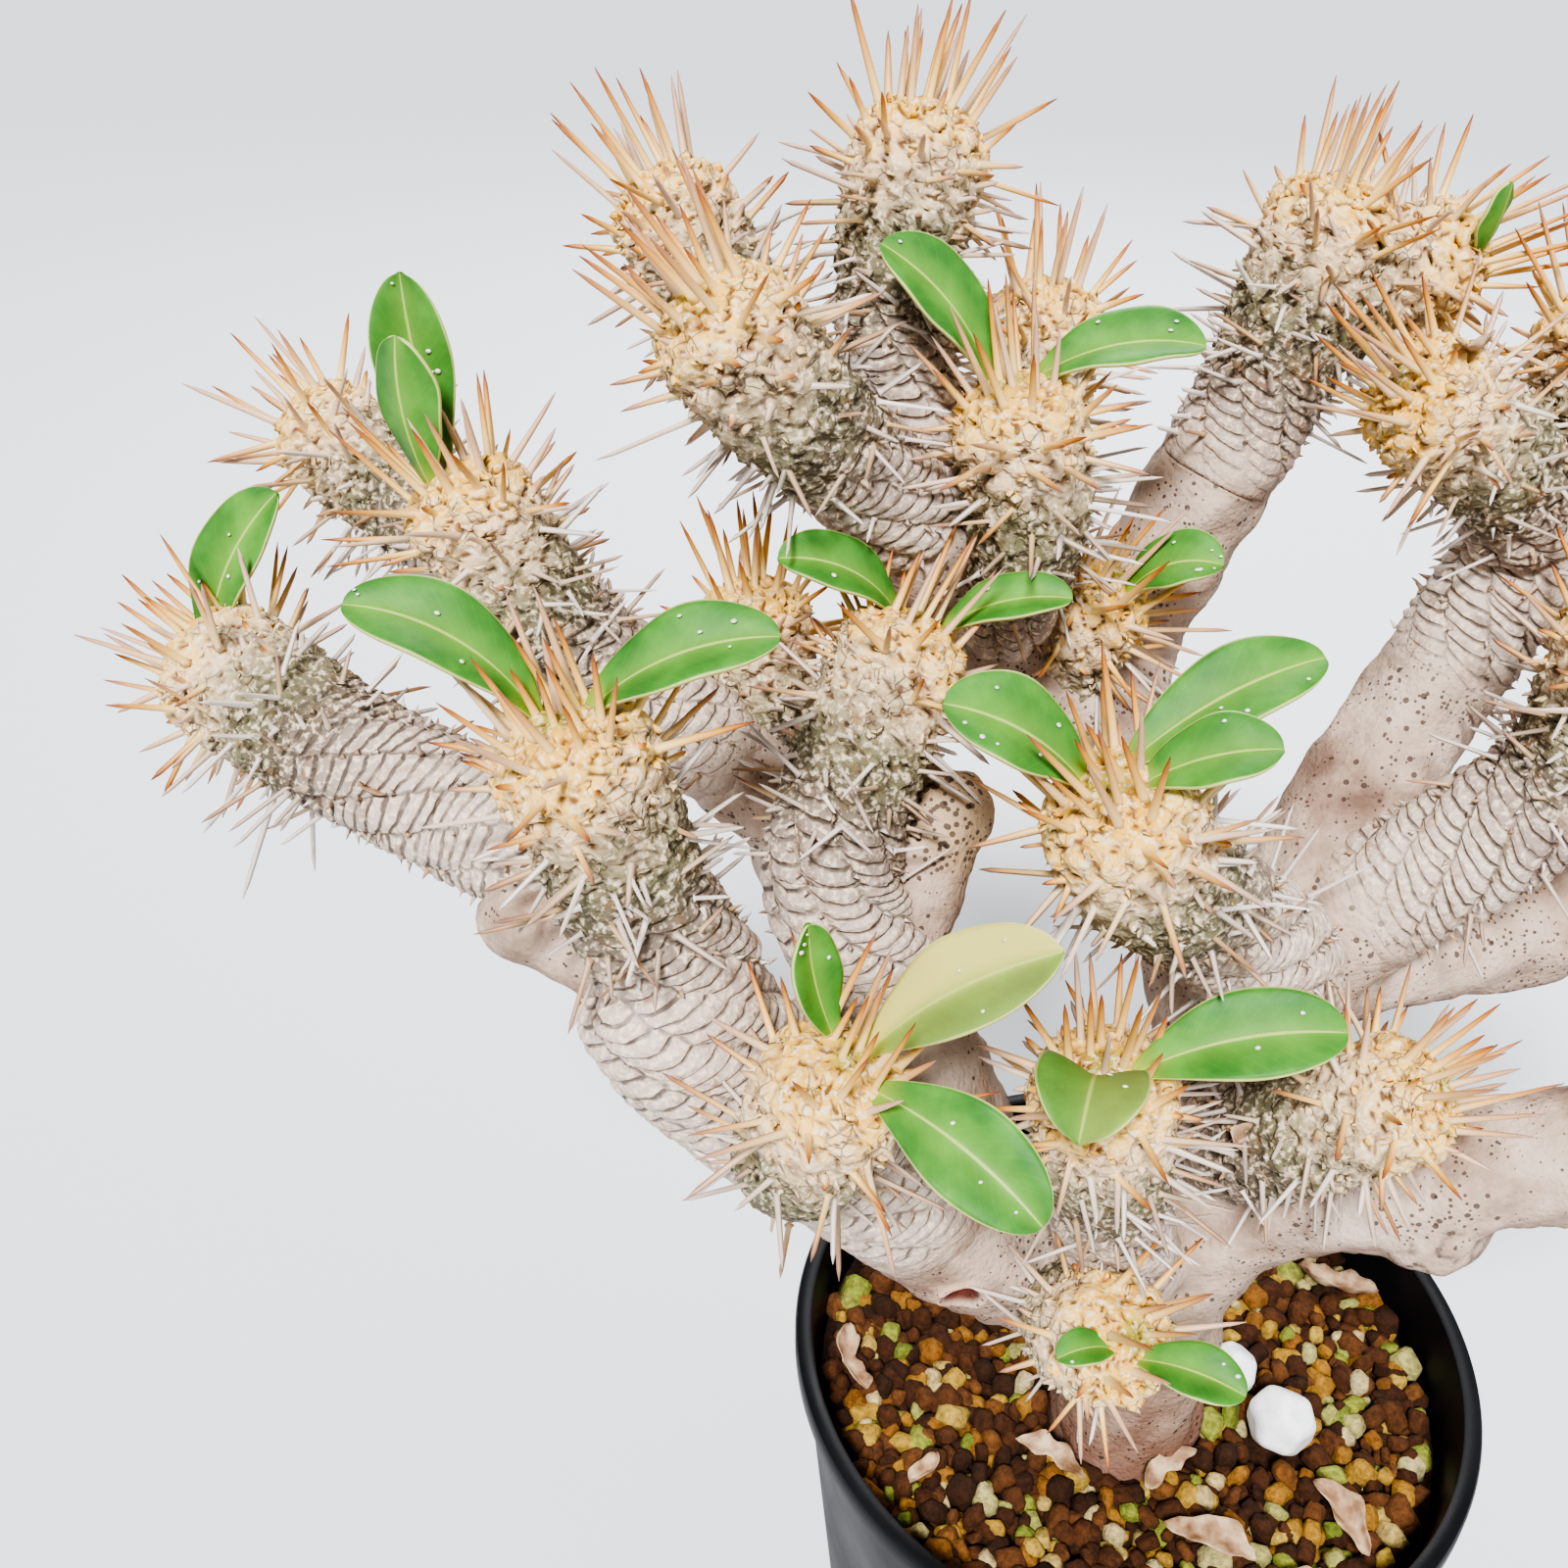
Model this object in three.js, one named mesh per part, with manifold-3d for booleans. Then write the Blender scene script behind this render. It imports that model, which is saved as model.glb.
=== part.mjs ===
// A potted Euphorbia guillauminiana: a spiny, many-branched succulent shrub in a black plastic pot.
// Millimetres, +Z up. The origin is the centre of the pot's flat underside.
import * as THREE from "three";
import { mergeVertices } from "three/addons/utils/BufferGeometryUtils.js";
import Module from "manifold-3d";

const wasm = await Module();
wasm.setup();

// Driving dimensions
const GAP = 0.3; // clearance between pieces that touch
const POT = {
  height: 110,
  rimRadius: 60,
  lipHeight: 5,
  lipOverhang: 1.4,
  baseRadius: 49.5,
  wall: 1.8,
  floor: 2.5,
  sides: 36,
  drainHoles: 8,
  drainHoleRadius: 3,
  drainCircleRadius: 38,
  footBevel: 1.5,
  lipBevel: 0.8,
};
const SOIL = { top: 96.5, rings: 6, sides: 28, grain: 1.5, holeSides: 16, holeAbove: 20, seed: 7 };
const PELLETS = {
  pellet_large: { centre: [25, -14], radius: 6.2 },
  pellet_small: { centre: [19, -3], radius: 4.9 },
};
const LIMB = { sides: 8, spacing: 14, stubDome: 4 };
const SHOOT = { sides: 8, spacing: 6, wart: 0.7, dome: 6.5, domeAngles: [35, 65] };
const SPINE = {
  perShoot: 23,
  rosette: 6, // the young spines that stand round the growing point
  lengthYoung: 14,
  lengthOld: 9,
  radiusYoung: 0.85,
  radiusOld: 0.6,
  sink: 2.2,
  rosetteDepth: 0.5, // how far below the growing point the rosette stands
  rosetteReach: 3.6, // how far from the stem's axis it stands
  firstDepth: 1.5,
  step: 1.15, // how much lower on the stem each spine stands than the one before
  bareStretch: 3, // the lowest part of a shoot, which carries none
  bareFork: 8, // the same on the side head of a forked shoot
  rootDepth: 0.3, // how deep in the skin the cone's axis starts
  tipLean: 14, // how far a spine at the growing point leans out from the stem, in degrees
  fullLean: 78, // how much further the old ones lean
  leanDepth: 7, // over what depth most of that lean comes
  leanSpread: 10,
  turnSpread: 20,
  ageDepth: 24, // the depth at which a spine is as short and thin as the old ones
  clearance: 0.4,
};
const LEAF = { thickness: 0.7, fold: 24, stalkWidth: 1.8, rows: 7, baseDepth: 1.5, baseReach: 3 };
const GOLDEN_ANGLE = 137.5;

// The trunk and its old limbs: points on each centre line, as x, y, z and the limb's radius there.
const LIMBS = {
  stem: [
    [-1, -8, 50, 5],
    [-1, -8, 66, 8],
    [-1, -8, 84, 13],
    [-1, -8, 97, 13.4],
    [-1, -8, 112, 12.5],
    [-1, -8, 126, 13],
    [0, -7, 134, 11],
  ],
  leftLimb: [
    [-1, -8, 120, 12],
    [-20, -11, 142, 12.5],
    [-38, -15, 158, 12],
    [-50, -19, 174, 12],
    [-64, -22, 190, 12],
    [-75, -23, 205, 12.5],
    [-82, -22, 217, 11],
  ],
  leftStub: [
    [-76, -20, 212, 9],
    [-90, -19, 218, 7],
    [-102, -19, 221, 6.2],
  ],
  backLeftLimb: [
    [-44, -4, 178, 9],
    [-52, 10, 190, 9],
    [-58, 20, 203, 9],
    [-62, 24, 211, 8.5],
  ],
  rightLimb: [
    [-1, -8, 120, 12],
    [3, -3, 145, 13],
    [8, 3, 164, 13],
    [13, 7, 177, 12.5],
    [18, 11, 189, 12.5],
    [21, 14, 197, 11],
  ],
  crownLimb: [
    [-8, 39, 212, 9],
    [-22, 39, 222, 8.5],
    [-34, 36, 236, 8.5],
    [-42, 32, 250, 9],
    [-44, 31, 257, 8],
  ],
  rightStub: [
    [32, -13, 163, 9],
    [36, -18, 160, 8],
    [38, -24, 155, 7.6],
  ],
  speckledStub: [
    [-47, 0, 200, 7],
    [-40, 8, 214, 7],
    [-35, 14, 221, 7.2],
  ],
};

// The living branches. Each leaves a limb. Its shoot, a piece of its own, starts at the given length, or at 0
// right at the limb's skin.
const BRANCHES = {
  1: {
    route: [
      [-76, -20, 213, 9], [-93, -11, 223, 9], [-107, -3, 226, 9], [-125, 6, 231, 9.2], [-147, 20, 238, 9.8],
    ],
    start: 36,
  },
  2: { route: [[-77, 23, 224, 8], [-103, 38, 240, 8], [-122, 49, 250, 8], [-138, 58, 260, 8.3]], start: 30 },
  3: {
    route: [
      [-60, 22, 208, 8], [-77, 22, 224, 8.5], [-91, 21, 237, 8.5], [-101, 22, 250, 8.6], [-108, 24, 264, 9],
    ],
    start: 44,
  },
  4: {
    route: [[-72, -21, 205, 11], [-80, -21, 222, 10], [-84, -21, 236, 9.2], [-89, -22, 252, 9.8]],
    start: 31,
  },
  5: { route: [[-60, 22, 207, 8], [-65, 29, 219, 8], [-66, 33, 230, 8], [-67, 36, 241, 8.4]], start: 17 },
  6: {
    route: [
      [-30, -12, 152, 10], [-40, -5, 177, 10.5], [-48, -2, 195, 10.5], [-55, 0, 212, 10], [-51, 7, 229, 9],
      [-43, 15, 246, 8.8],
    ],
    start: 68,
  },
  7: {
    route: [[-16, 41, 216, 7.6], [-17, 39, 227, 7.6], [-15, 36, 235, 7.8], [-11, 35, 242, 8.2]],
    start: 0,
  },
  8: {
    route: [
      [14, 6, 182, 11], [11, 0, 196, 10], [-4, -12, 215, 9.6], [-16, -19, 229, 9.5], [-23, -22, 243, 9.6],
    ],
    start: 31,
  },
  9: {
    route: [
      [-42, 31, 250, 8.5], [-45, 38, 266, 8.4], [-46, 43, 280, 8.4], [-45, 47, 293, 8.6], [-42, 51, 306, 9],
    ],
    start: 24,
  },
  10: {
    route: [[-24, 39, 224, 8], [-26, 44, 242, 8], [-25, 50, 257, 8], [-23, 55, 268, 8], [-22, 58, 280, 8.4]],
    start: 22,
  },
  11: { route: [[-31, 36, 232, 8], [-28, 28, 247, 8], [-28, 25, 260, 8.2], [-32, 25, 276, 8.8]], start: 19 },
  12: { route: [[-43, 32, 252, 8], [-57, 41, 265, 8], [-71, 49, 280, 8.2], [-81, 55, 296, 8.6]], start: 28 },
  13: {
    route: [[-40, 32, 250, 8.5], [-53, 25, 265, 8.6], [-63, 19, 277, 8.8], [-73, 17, 291, 9.4]],
    start: 28,
  },
  14: {
    route: [
      [5, -2, 152, 10], [8, 9, 172, 10], [4, 19, 187, 9.5], [-3, 29, 200, 9.5], [-8, 39, 212, 9.5],
      [-7, 48, 223, 9.3], [-1, 53, 236, 9.6], [6, 54, 251, 9.8], [13, 56, 268, 9.4], [20, 60, 294, 9],
    ],
    start: 122,
    fork: { route: [[13, 56, 269, 8], [25, 57, 279, 8], [39, 53, 287, 8.2]] },
  },
  16: { route: [[50, 38, 245, 9], [46, 35, 255, 8.5], [36, 32, 265, 8.6], [22, 30, 275, 9]], start: 15 },
  17: {
    route: [
      [18, 12, 190, 11], [27, 24, 206, 10], [36, 31, 219, 9.5], [46, 37, 235, 9.5], [54, 40, 250, 9.5],
      [57, 43, 266, 9], [56, 46, 282, 9],
    ],
    start: 92,
  },
  18: {
    route: [[-56, -19, 180, 9], [-60, -32, 190, 8.6], [-58, -38, 202, 8.8], [-54, -40, 215, 9.4]],
    start: 0,
  },
  19: {
    route: [[-5, -9, 134, 10], [-11, -18, 156, 9], [-17, -27, 182, 8.8], [-21, -32, 206, 9.2]],
    start: 42,
  },
  20: { route: [[6, 0, 164, 10], [8, -14, 173, 9], [17, -21, 185, 8.6], [28, -24, 195, 8.8]], start: 20 },
  21: {
    route: [[-10, -12, 136, 10], [-17, -25, 147, 8.4], [-17, -34, 154, 8.4], [-13, -41, 163, 8.8]],
    start: 0,
  },
  22: {
    route: [[16, 10, 187, 11], [29, 11, 200, 10.5], [42, 10, 212, 10], [52, 9, 226, 9.5], [56, 12, 250, 9.2]],
    start: 60,
  },
  23: {
    route: [
      [16, 10, 184, 10], [32, 14, 185, 9], [54, 19, 186, 9], [76, 21, 193, 9], [100, 18, 210, 8.8],
      [116, 15, 234, 9],
    ],
    start: 92,
  },
  24: {
    route: [
      [-1, -8, 130, 11], [12, -9, 152, 9.4], [29, -13, 162, 9.6], [50, -16, 171, 9.8], [74, -18, 180, 9.6],
      [98, -21, 194, 9], [112, -24, 216, 9.2],
    ],
    start: 112,
  },
  25: { route: [[66, 20, 190, 8.4], [78, 34, 203, 8.4], [90, 43, 222, 8.4], [98, 48, 246, 8.8]], start: 38 },
  26: { route: [[44, 10, 216, 8.6], [60, 5, 229, 8.6], [76, -2, 243, 8.6], [88, -5, 262, 9]], start: 38 },
};

// The leaves of each shoot: the side of the head that it grows from, where its tip lies as seen from its base
// (azimuth, elevation and distance), how far the blade arches on the way, its width and how it is rolled.
const LEAVES = {
  leaf_01: { shoot: 1, from: 140, azimuth: 16, elevation: 62, chord: 29, arch: 22, width: 12, roll: 40 },
  leaf_02: { shoot: 3, from: 125, azimuth: 130, elevation: 76, chord: 28, arch: -14, width: 12, roll: -40 },
  leaf_03: { shoot: 3, from: 200, azimuth: 200, elevation: 84, chord: 22, arch: -16, width: 12, roll: 40 },
  leaf_04: { shoot: 4, from: 140, azimuth: 174, elevation: 34, chord: 27, arch: 34, width: 12, roll: -24 },
  leaf_05: { shoot: 4, from: 30, azimuth: 2, elevation: 24, chord: 26, arch: 26, width: 12, roll: 24 },
  leaf_06: { shoot: 6, from: 130, azimuth: -168, elevation: 33, chord: 21, arch: 34, width: 10, roll: -34 },
  leaf_07: { shoot: 6, from: 20, azimuth: -10, elevation: 22, chord: 20, arch: 26, width: 9, roll: 22 },
  leaf_08: { shoot: 7, from: -60, azimuth: -24, elevation: 32, chord: 16, arch: 40, width: 11, roll: 30 },
  leaf_09: { shoot: 8, from: 150, azimuth: 178, elevation: 33, chord: 22, arch: 24, width: 13, roll: -34 },
  leaf_10: { shoot: 8, from: -10, azimuth: -14, elevation: 27, chord: 18, arch: 20, width: 11, roll: 24 },
  leaf_11: { shoot: 8, from: 60, azimuth: 16, elevation: 25, chord: 29, arch: 20, width: 12, roll: 22 },
  leaf_12: { shoot: 11, from: 130, azimuth: 172, elevation: 50, chord: 25, arch: 22, width: 12, roll: -34 },
  leaf_13: { shoot: 11, from: 40, azimuth: -6, elevation: 15, chord: 24, arch: 26, width: 12, roll: 22 },
  leaf_14: {
    shoot: 14, fork: true, from: -80, azimuth: -80, elevation: 70, chord: 12, arch: -20, width: 7, roll: 30,
  },
  leaf_15: { shoot: 18, from: 110, azimuth: 150, elevation: 76, chord: 18, arch: -14, width: 8, roll: -20 },
  leaf_16: { shoot: 18, from: 40, azimuth: -14, elevation: 44, chord: 31, arch: 16, width: 13, roll: 40 },
  leaf_17: { shoot: 18, from: -50, azimuth: -40, elevation: -12, chord: 27, arch: 22, width: 13, roll: 34 },
  leaf_18: { shoot: 19, from: -120, azimuth: -108, elevation: 26, chord: 20, arch: 50, width: 15, roll: 0 },
  leaf_19: { shoot: 19, from: -20, azimuth: -2, elevation: 18, chord: 28, arch: 22, width: 13, roll: 30 },
  leaf_20: { shoot: 21, from: -80, azimuth: -28, elevation: 8, chord: 16, arch: 24, width: 9, roll: 14 },
  leaf_21: { shoot: 21, from: -130, azimuth: -160, elevation: 16, chord: 10, arch: 34, width: 6, roll: -10 },
  leaf_22: { shoot: 23, from: -40, azimuth: -40, elevation: 34, chord: 25, arch: 26, width: 12, roll: 10 },
  leaf_23: { shoot: 24, from: 20, azimuth: 20, elevation: 36, chord: 26, arch: 26, width: 12, roll: 10 },
  leaf_24: { shoot: 25, from: 60, azimuth: 60, elevation: 40, chord: 25, arch: 24, width: 12, roll: -10 },
  leaf_25: { shoot: 26, from: -60, azimuth: -60, elevation: 34, chord: 24, arch: 26, width: 11, roll: 10 },
};

const radians = THREE.MathUtils.degToRad;

// A repeatable source of numbers from 0 to 1.
function randomFrom(seed) {
  let state = seed;
  return () => {
    state = (state * 1664525 + 1013904223) % 4294967296;
    return state / 4294967296;
  };
}

// A closed three.js geometry as a solid for joins and cuts.
function solidOf(geometry) {
  const bare = new THREE.BufferGeometry().setAttribute("position", geometry.getAttribute("position"));
  bare.setIndex(geometry.index);
  const merged = mergeVertices(bare, 1e-3);
  const corners = merged.index.array;
  const kept = [];
  for (let i = 0; i < corners.length; i += 3) {
    const [a, b, c] = [corners[i], corners[i + 1], corners[i + 2]];
    if (a !== b && b !== c && a !== c) kept.push(a, b, c);
  }
  return new wasm.Manifold(
    new wasm.Mesh({
      numProp: 3,
      vertProperties: new Float32Array(merged.attributes.position.array),
      triVerts: new Uint32Array(kept),
    }),
  );
}

function meshOf(name, solid, material) {
  const { vertProperties, triVerts, numProp } = solid.getMesh();
  const points = new Float32Array((vertProperties.length / numProp) * 3);
  for (let i = 0; i < points.length / 3; i++) {
    points.set(vertProperties.subarray(i * numProp, i * numProp + 3), i * 3);
  }
  const geometry = new THREE.BufferGeometry();
  geometry.setAttribute("position", new THREE.BufferAttribute(points, 3));
  geometry.setIndex(new THREE.BufferAttribute(triVerts, 1));
  geometry.computeVertexNormals();
  const mesh = new THREE.Mesh(geometry, material);
  mesh.name = name;
  return mesh;
}

// A centre line through the route's points, with the radius at any length along it.
class CentreLine {
  constructor(route) {
    this.radii = route.map((point) => point[3]);
    const points = route.map(([x, y, z]) => new THREE.Vector3(x, y, z));
    this.curve = new THREE.CatmullRomCurve3(points, false, "centripetal");
    this.length = this.curve.getLength();
  }

  at(distance) {
    const u = THREE.MathUtils.clamp(distance / this.length, 0, 1);
    const t = this.curve.getUtoTmapping(u) * (this.radii.length - 1);
    const i = Math.min(Math.floor(t), this.radii.length - 2);
    return {
      centre: this.curve.getPointAt(u),
      tangent: this.curve.getTangentAt(u),
      radius: THREE.MathUtils.lerp(this.radii[i], this.radii[i + 1], t - i),
    };
  }
}

// The cross-sections of a stem between two lengths on its centre line. A stem with a dome closes over its
// last millimetres.
function sections(line, from, to, spacing, dome) {
  const straight = to - from - dome;
  const rings = Math.max(2, Math.round(straight / spacing));
  const places = Array.from({ length: rings + 1 }, (_, i) => ({
    distance: from + (straight * i) / rings,
    narrowing: 1,
  }));
  if (dome > 0) {
    SHOOT.domeAngles.map(radians).forEach((angle) =>
      places.push({ distance: to - dome + dome * Math.sin(angle), narrowing: Math.cos(angle) }),
    );
  }
  let side = null;
  return places.map(({ distance, narrowing }) => {
    const { centre, tangent, radius } = line.at(distance);
    side ??= Math.abs(tangent.z) < 0.9 ? new THREE.Vector3(0, 0, 1) : new THREE.Vector3(1, 0, 0);
    side = side.clone().addScaledVector(tangent, -side.dot(tangent)).normalize();
    const across = new THREE.Vector3().crossVectors(side, tangent);
    return { centre, tangent, side, across, radius: radius * narrowing };
  });
}

// A stem or limb as one closed solid: a cylinder bent through its cross-sections. Every other corner of its
// net stands out by the height of a wart.
function stemSolid(line, { from = 0, to = line.length, spacing = LIMB.spacing, ...shape }) {
  const { sides, dome = 0, wart = 0, grow = 0 } = shape;
  const rings = sections(line, from, to, spacing, dome);
  const last = rings.length - 1;
  const geometry = new THREE.CylinderGeometry(1, 1, 1, sides, last);
  const position = geometry.getAttribute("position");
  const apex = line.at(to);
  for (let i = 0; i < position.count; i++) {
    const [x, y, z] = [position.getX(i), position.getY(i), position.getZ(i)];
    const j = Math.round((y + 0.5) * last);
    const ring = rings[j];
    const corner = Math.round((Math.atan2(z, x) / (2 * Math.PI)) * sides) + sides;
    const stands = (corner + j) % 2 === 0 && j > 0 ? wart : 0;
    const onAxis = Math.hypot(x, z) < 0.5;
    const radius = onAxis ? 0 : ring.radius + stands + grow;
    const point = (onAxis && j === last && dome > 0 ? apex.centre : ring.centre).clone();
    if (onAxis && j === last && dome > 0) point.addScaledVector(apex.tangent, grow);
    point.addScaledVector(ring.side, x * radius).addScaledVector(ring.across, z * radius);
    position.setXYZ(i, point.x, point.y, point.z);
  }
  return solidOf(geometry);
}

const join = (solids) => wasm.Manifold.union(solids);
const largest = (solid) => solid.decompose().sort((a, b) => b.volume() - a.volume())[0];

// Pot

const potSlope = (POT.rimRadius - POT.lipOverhang - POT.baseRadius) / POT.height;
const potOuterRadius = (z) => POT.baseRadius + potSlope * z;
const potInnerRadius = (z) => potOuterRadius(z) - POT.wall;

function pot() {
  const { height, rimRadius, lipHeight, floor, sides, footBevel, lipBevel } = POT;
  const lipUnder = height - lipHeight;
  const profile = [
    [0, 0],
    [potOuterRadius(0) - footBevel, 0],
    [potOuterRadius(footBevel), footBevel],
    [potOuterRadius(lipUnder), lipUnder],
    [rimRadius, lipUnder + lipBevel],
    [rimRadius, height - lipBevel],
    [rimRadius - lipBevel, height],
    [potInnerRadius(height) + lipBevel, height],
    [potInnerRadius(height), height - lipBevel],
    [potInnerRadius(floor), floor],
    [0, floor],
  ].map(([radius, z]) => new THREE.Vector2(radius, z));
  const shell = solidOf(new THREE.LatheGeometry(profile, sides).rotateX(Math.PI / 2));
  const holes = Array.from({ length: POT.drainHoles }, (_, i) => {
    const angle = (2 * Math.PI * i) / POT.drainHoles;
    const hole = new THREE.CylinderGeometry(POT.drainHoleRadius, POT.drainHoleRadius, 4 * floor, 8);
    const [x, y] = [Math.cos(angle), Math.sin(angle)].map((share) => POT.drainCircleRadius * share);
    return solidOf(hole.rotateX(Math.PI / 2).translate(x, y, floor / 2));
  });
  return shell.subtract(join(holes));
}

// Soil: it fills the pot, its top is rough with grains, and the stem stands in a plain hole in it.

function soil(stemLine) {
  const { top, rings, sides, grain, holeSides, holeAbove, seed } = SOIL;
  const bottom = POT.floor + GAP;
  const edge = potInnerRadius(top) - 2 * GAP;
  const profile = [new THREE.Vector2(0, bottom), new THREE.Vector2(potInnerRadius(bottom) - 2 * GAP, bottom)];
  for (let i = rings; i >= 0; i--) profile.push(new THREE.Vector2((edge * i) / rings, top));
  const geometry = new THREE.LatheGeometry(profile, sides).rotateX(Math.PI / 2);
  const random = randomFrom(seed);
  const heights = Array.from({ length: (rings + 1) * sides }, () => grain * (2 * random() - 1));
  const position = geometry.getAttribute("position");
  for (let i = 0; i < position.count; i++) {
    const [x, y, z] = [position.getX(i), position.getY(i), position.getZ(i)];
    if (z < top - 1) continue;
    const ring = Math.round((Math.hypot(x, y) / edge) * rings);
    const spoke = (Math.round((Math.atan2(y, x) / (2 * Math.PI)) * sides) + sides) % sides;
    position.setZ(i, z + heights[ring === 0 ? 0 : ring * sides + spoke]);
  }
  const [x, y, foot, footRadius] = LIMBS.stem[0];
  const hole = stemSolid(stemLine, { to: top + holeAbove - foot, sides: holeSides, grow: 2 * GAP });
  const socket = new THREE.CylinderGeometry(footRadius + 2 * GAP, footRadius + 2 * GAP, 2 * GAP, holeSides);
  socket.rotateX(Math.PI / 2).translate(x, y, foot);
  return solidOf(geometry).subtract(hole).subtract(solidOf(socket));
}

// Two round white pellets lie on the soil.

function pellet({ centre: [x, y], radius }, ground) {
  const ball = new THREE.IcosahedronGeometry(radius, 1).translate(x, y, SOIL.top + SOIL.grain + GAP + radius);
  let solid = solidOf(ball);
  const step = 0.1;
  while (ground.intersect(solid.translate(0, 0, -step - GAP)).isEmpty()) solid = solid.translate(0, 0, -step);
  return solid;
}

// Spines

function spineSolid(root, direction, length, radius) {
  const cone = new THREE.ConeGeometry(radius, length + SPINE.sink, 3);
  cone.translate(0, (length - SPINE.sink) / 2, 0);
  cone.applyQuaternion(new THREE.Quaternion().setFromUnitVectors(new THREE.Vector3(0, 1, 0), direction));
  return solidOf(cone.translate(root.x, root.y, root.z));
}

// Where each spine of a head stands and points. They stand in a spiral round the stem: upright in the
// rosette, then leaning out more and more, and below that shorter, thinner and square to the stem.
function spinePlaces(line, from, random) {
  const places = [];
  for (let i = 0; i < SPINE.perShoot; i++) {
    const inRosette = i < SPINE.rosette;
    const depth = inRosette ? SPINE.rosetteDepth : SPINE.firstDepth + SPINE.step * (i - SPINE.rosette);
    if (line.length - depth < from + SPINE.bareStretch) break;
    const { centre, tangent, radius } = line.at(line.length - depth);
    const domed = Math.min(1, depth / SHOOT.dome);
    const reach = inRosette ? SPINE.rosetteReach : radius * Math.sqrt(1 - (1 - domed) ** 2);
    const angle = radians(GOLDEN_ANGLE * i + SPINE.turnSpread * random());
    const seed = Math.abs(tangent.z) < 0.9 ? new THREE.Vector3(0, 0, 1) : new THREE.Vector3(1, 0, 0);
    const side = seed.addScaledVector(tangent, -seed.dot(tangent)).normalize();
    const across = new THREE.Vector3().crossVectors(side, tangent);
    const out = side.multiplyScalar(Math.cos(angle)).addScaledVector(across, Math.sin(angle));
    const age = Math.min(1, depth / SPINE.ageDepth);
    const settled = SPINE.tipLean + SPINE.fullLean * (1 - Math.exp(-depth / SPINE.leanDepth));
    const lean = radians(settled + SPINE.leanSpread * (random() - 0.5));
    places.push({
      root: centre.clone().addScaledVector(out, reach - SPINE.rootDepth),
      direction: tangent.clone().multiplyScalar(Math.cos(lean)).addScaledVector(out, Math.sin(lean)),
      length: THREE.MathUtils.lerp(SPINE.lengthYoung, SPINE.lengthOld, age) * (0.85 + 0.3 * random()),
      radius: THREE.MathUtils.lerp(SPINE.radiusYoung, SPINE.radiusOld, age),
      out,
    });
  }
  return places;
}

function boxesMeet(a, b) {
  return [0, 1, 2].every((k) => a.min[k] < b.max[k] && b.min[k] < a.max[k]);
}

// A spine that would touch another piece is shortened or turned a little until it is clear, and left out if
// nothing helps. Each try is how far it turns outwards and the share of its length that stays.
const SPINE_TRIES = [[0, 1], [0, 0.75], [0.35, 1], [-0.35, 1], [0.7, 0.9], [-0.7, 0.9], [0, 0.5]];

function clearSpine(place, others) {
  for (const [turn, share] of SPINE_TRIES) {
    const direction = place.direction.clone().addScaledVector(place.out, turn).normalize();
    const length = place.length * share;
    const probe = spineSolid(place.root, direction, length + 1, place.radius + SPINE.clearance);
    const box = probe.boundingBox();
    const near = others.filter((other) => boxesMeet(box, other.box));
    if (near.every((other) => other.solid.intersect(probe).isEmpty())) {
      return spineSolid(place.root, direction, length, place.radius);
    }
  }
  return null;
}

// Leaves

const leafWidthAt = (t) => Math.sin(Math.PI * Math.min(1, 0.04 + 0.96 * t) ** 1.45) ** 0.75;

// The leaf's rib, as points with its direction, its side and the normal of its face.
function leafRib({ azimuth, elevation, chord, arch, roll }, base) {
  const along = new THREE.Vector3(Math.cos(radians(azimuth)), Math.sin(radians(azimuth)), 0);
  const side = new THREE.Vector3(-along.y, along.x, 0);
  const length = (chord * radians(arch)) / Math.sin(radians(arch));
  const point = base.clone();
  const rows = [];
  for (let i = 0; i < LEAF.rows; i++) {
    const t = i / (LEAF.rows - 1);
    const rise = radians(elevation + arch * (1 - 2 * t));
    const tangent = along.clone().multiplyScalar(Math.cos(rise)).add(new THREE.Vector3(0, 0, Math.sin(rise)));
    const normal = new THREE.Vector3().crossVectors(tangent, side).normalize();
    const turned = side.clone().multiplyScalar(Math.cos(radians(roll)));
    turned.addScaledVector(normal, Math.sin(radians(roll)));
    const face = new THREE.Vector3().crossVectors(tangent, turned).normalize();
    if (i > 0) {
      const middle = radians(elevation + arch * (1 - 2 * (t - 0.5 / (LEAF.rows - 1))));
      const step = length / (LEAF.rows - 1);
      point.addScaledVector(along, step * Math.cos(middle));
      point.z += step * Math.sin(middle);
    }
    rows.push({ t, point: point.clone(), side: turned, face });
  }
  return rows;
}

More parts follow.
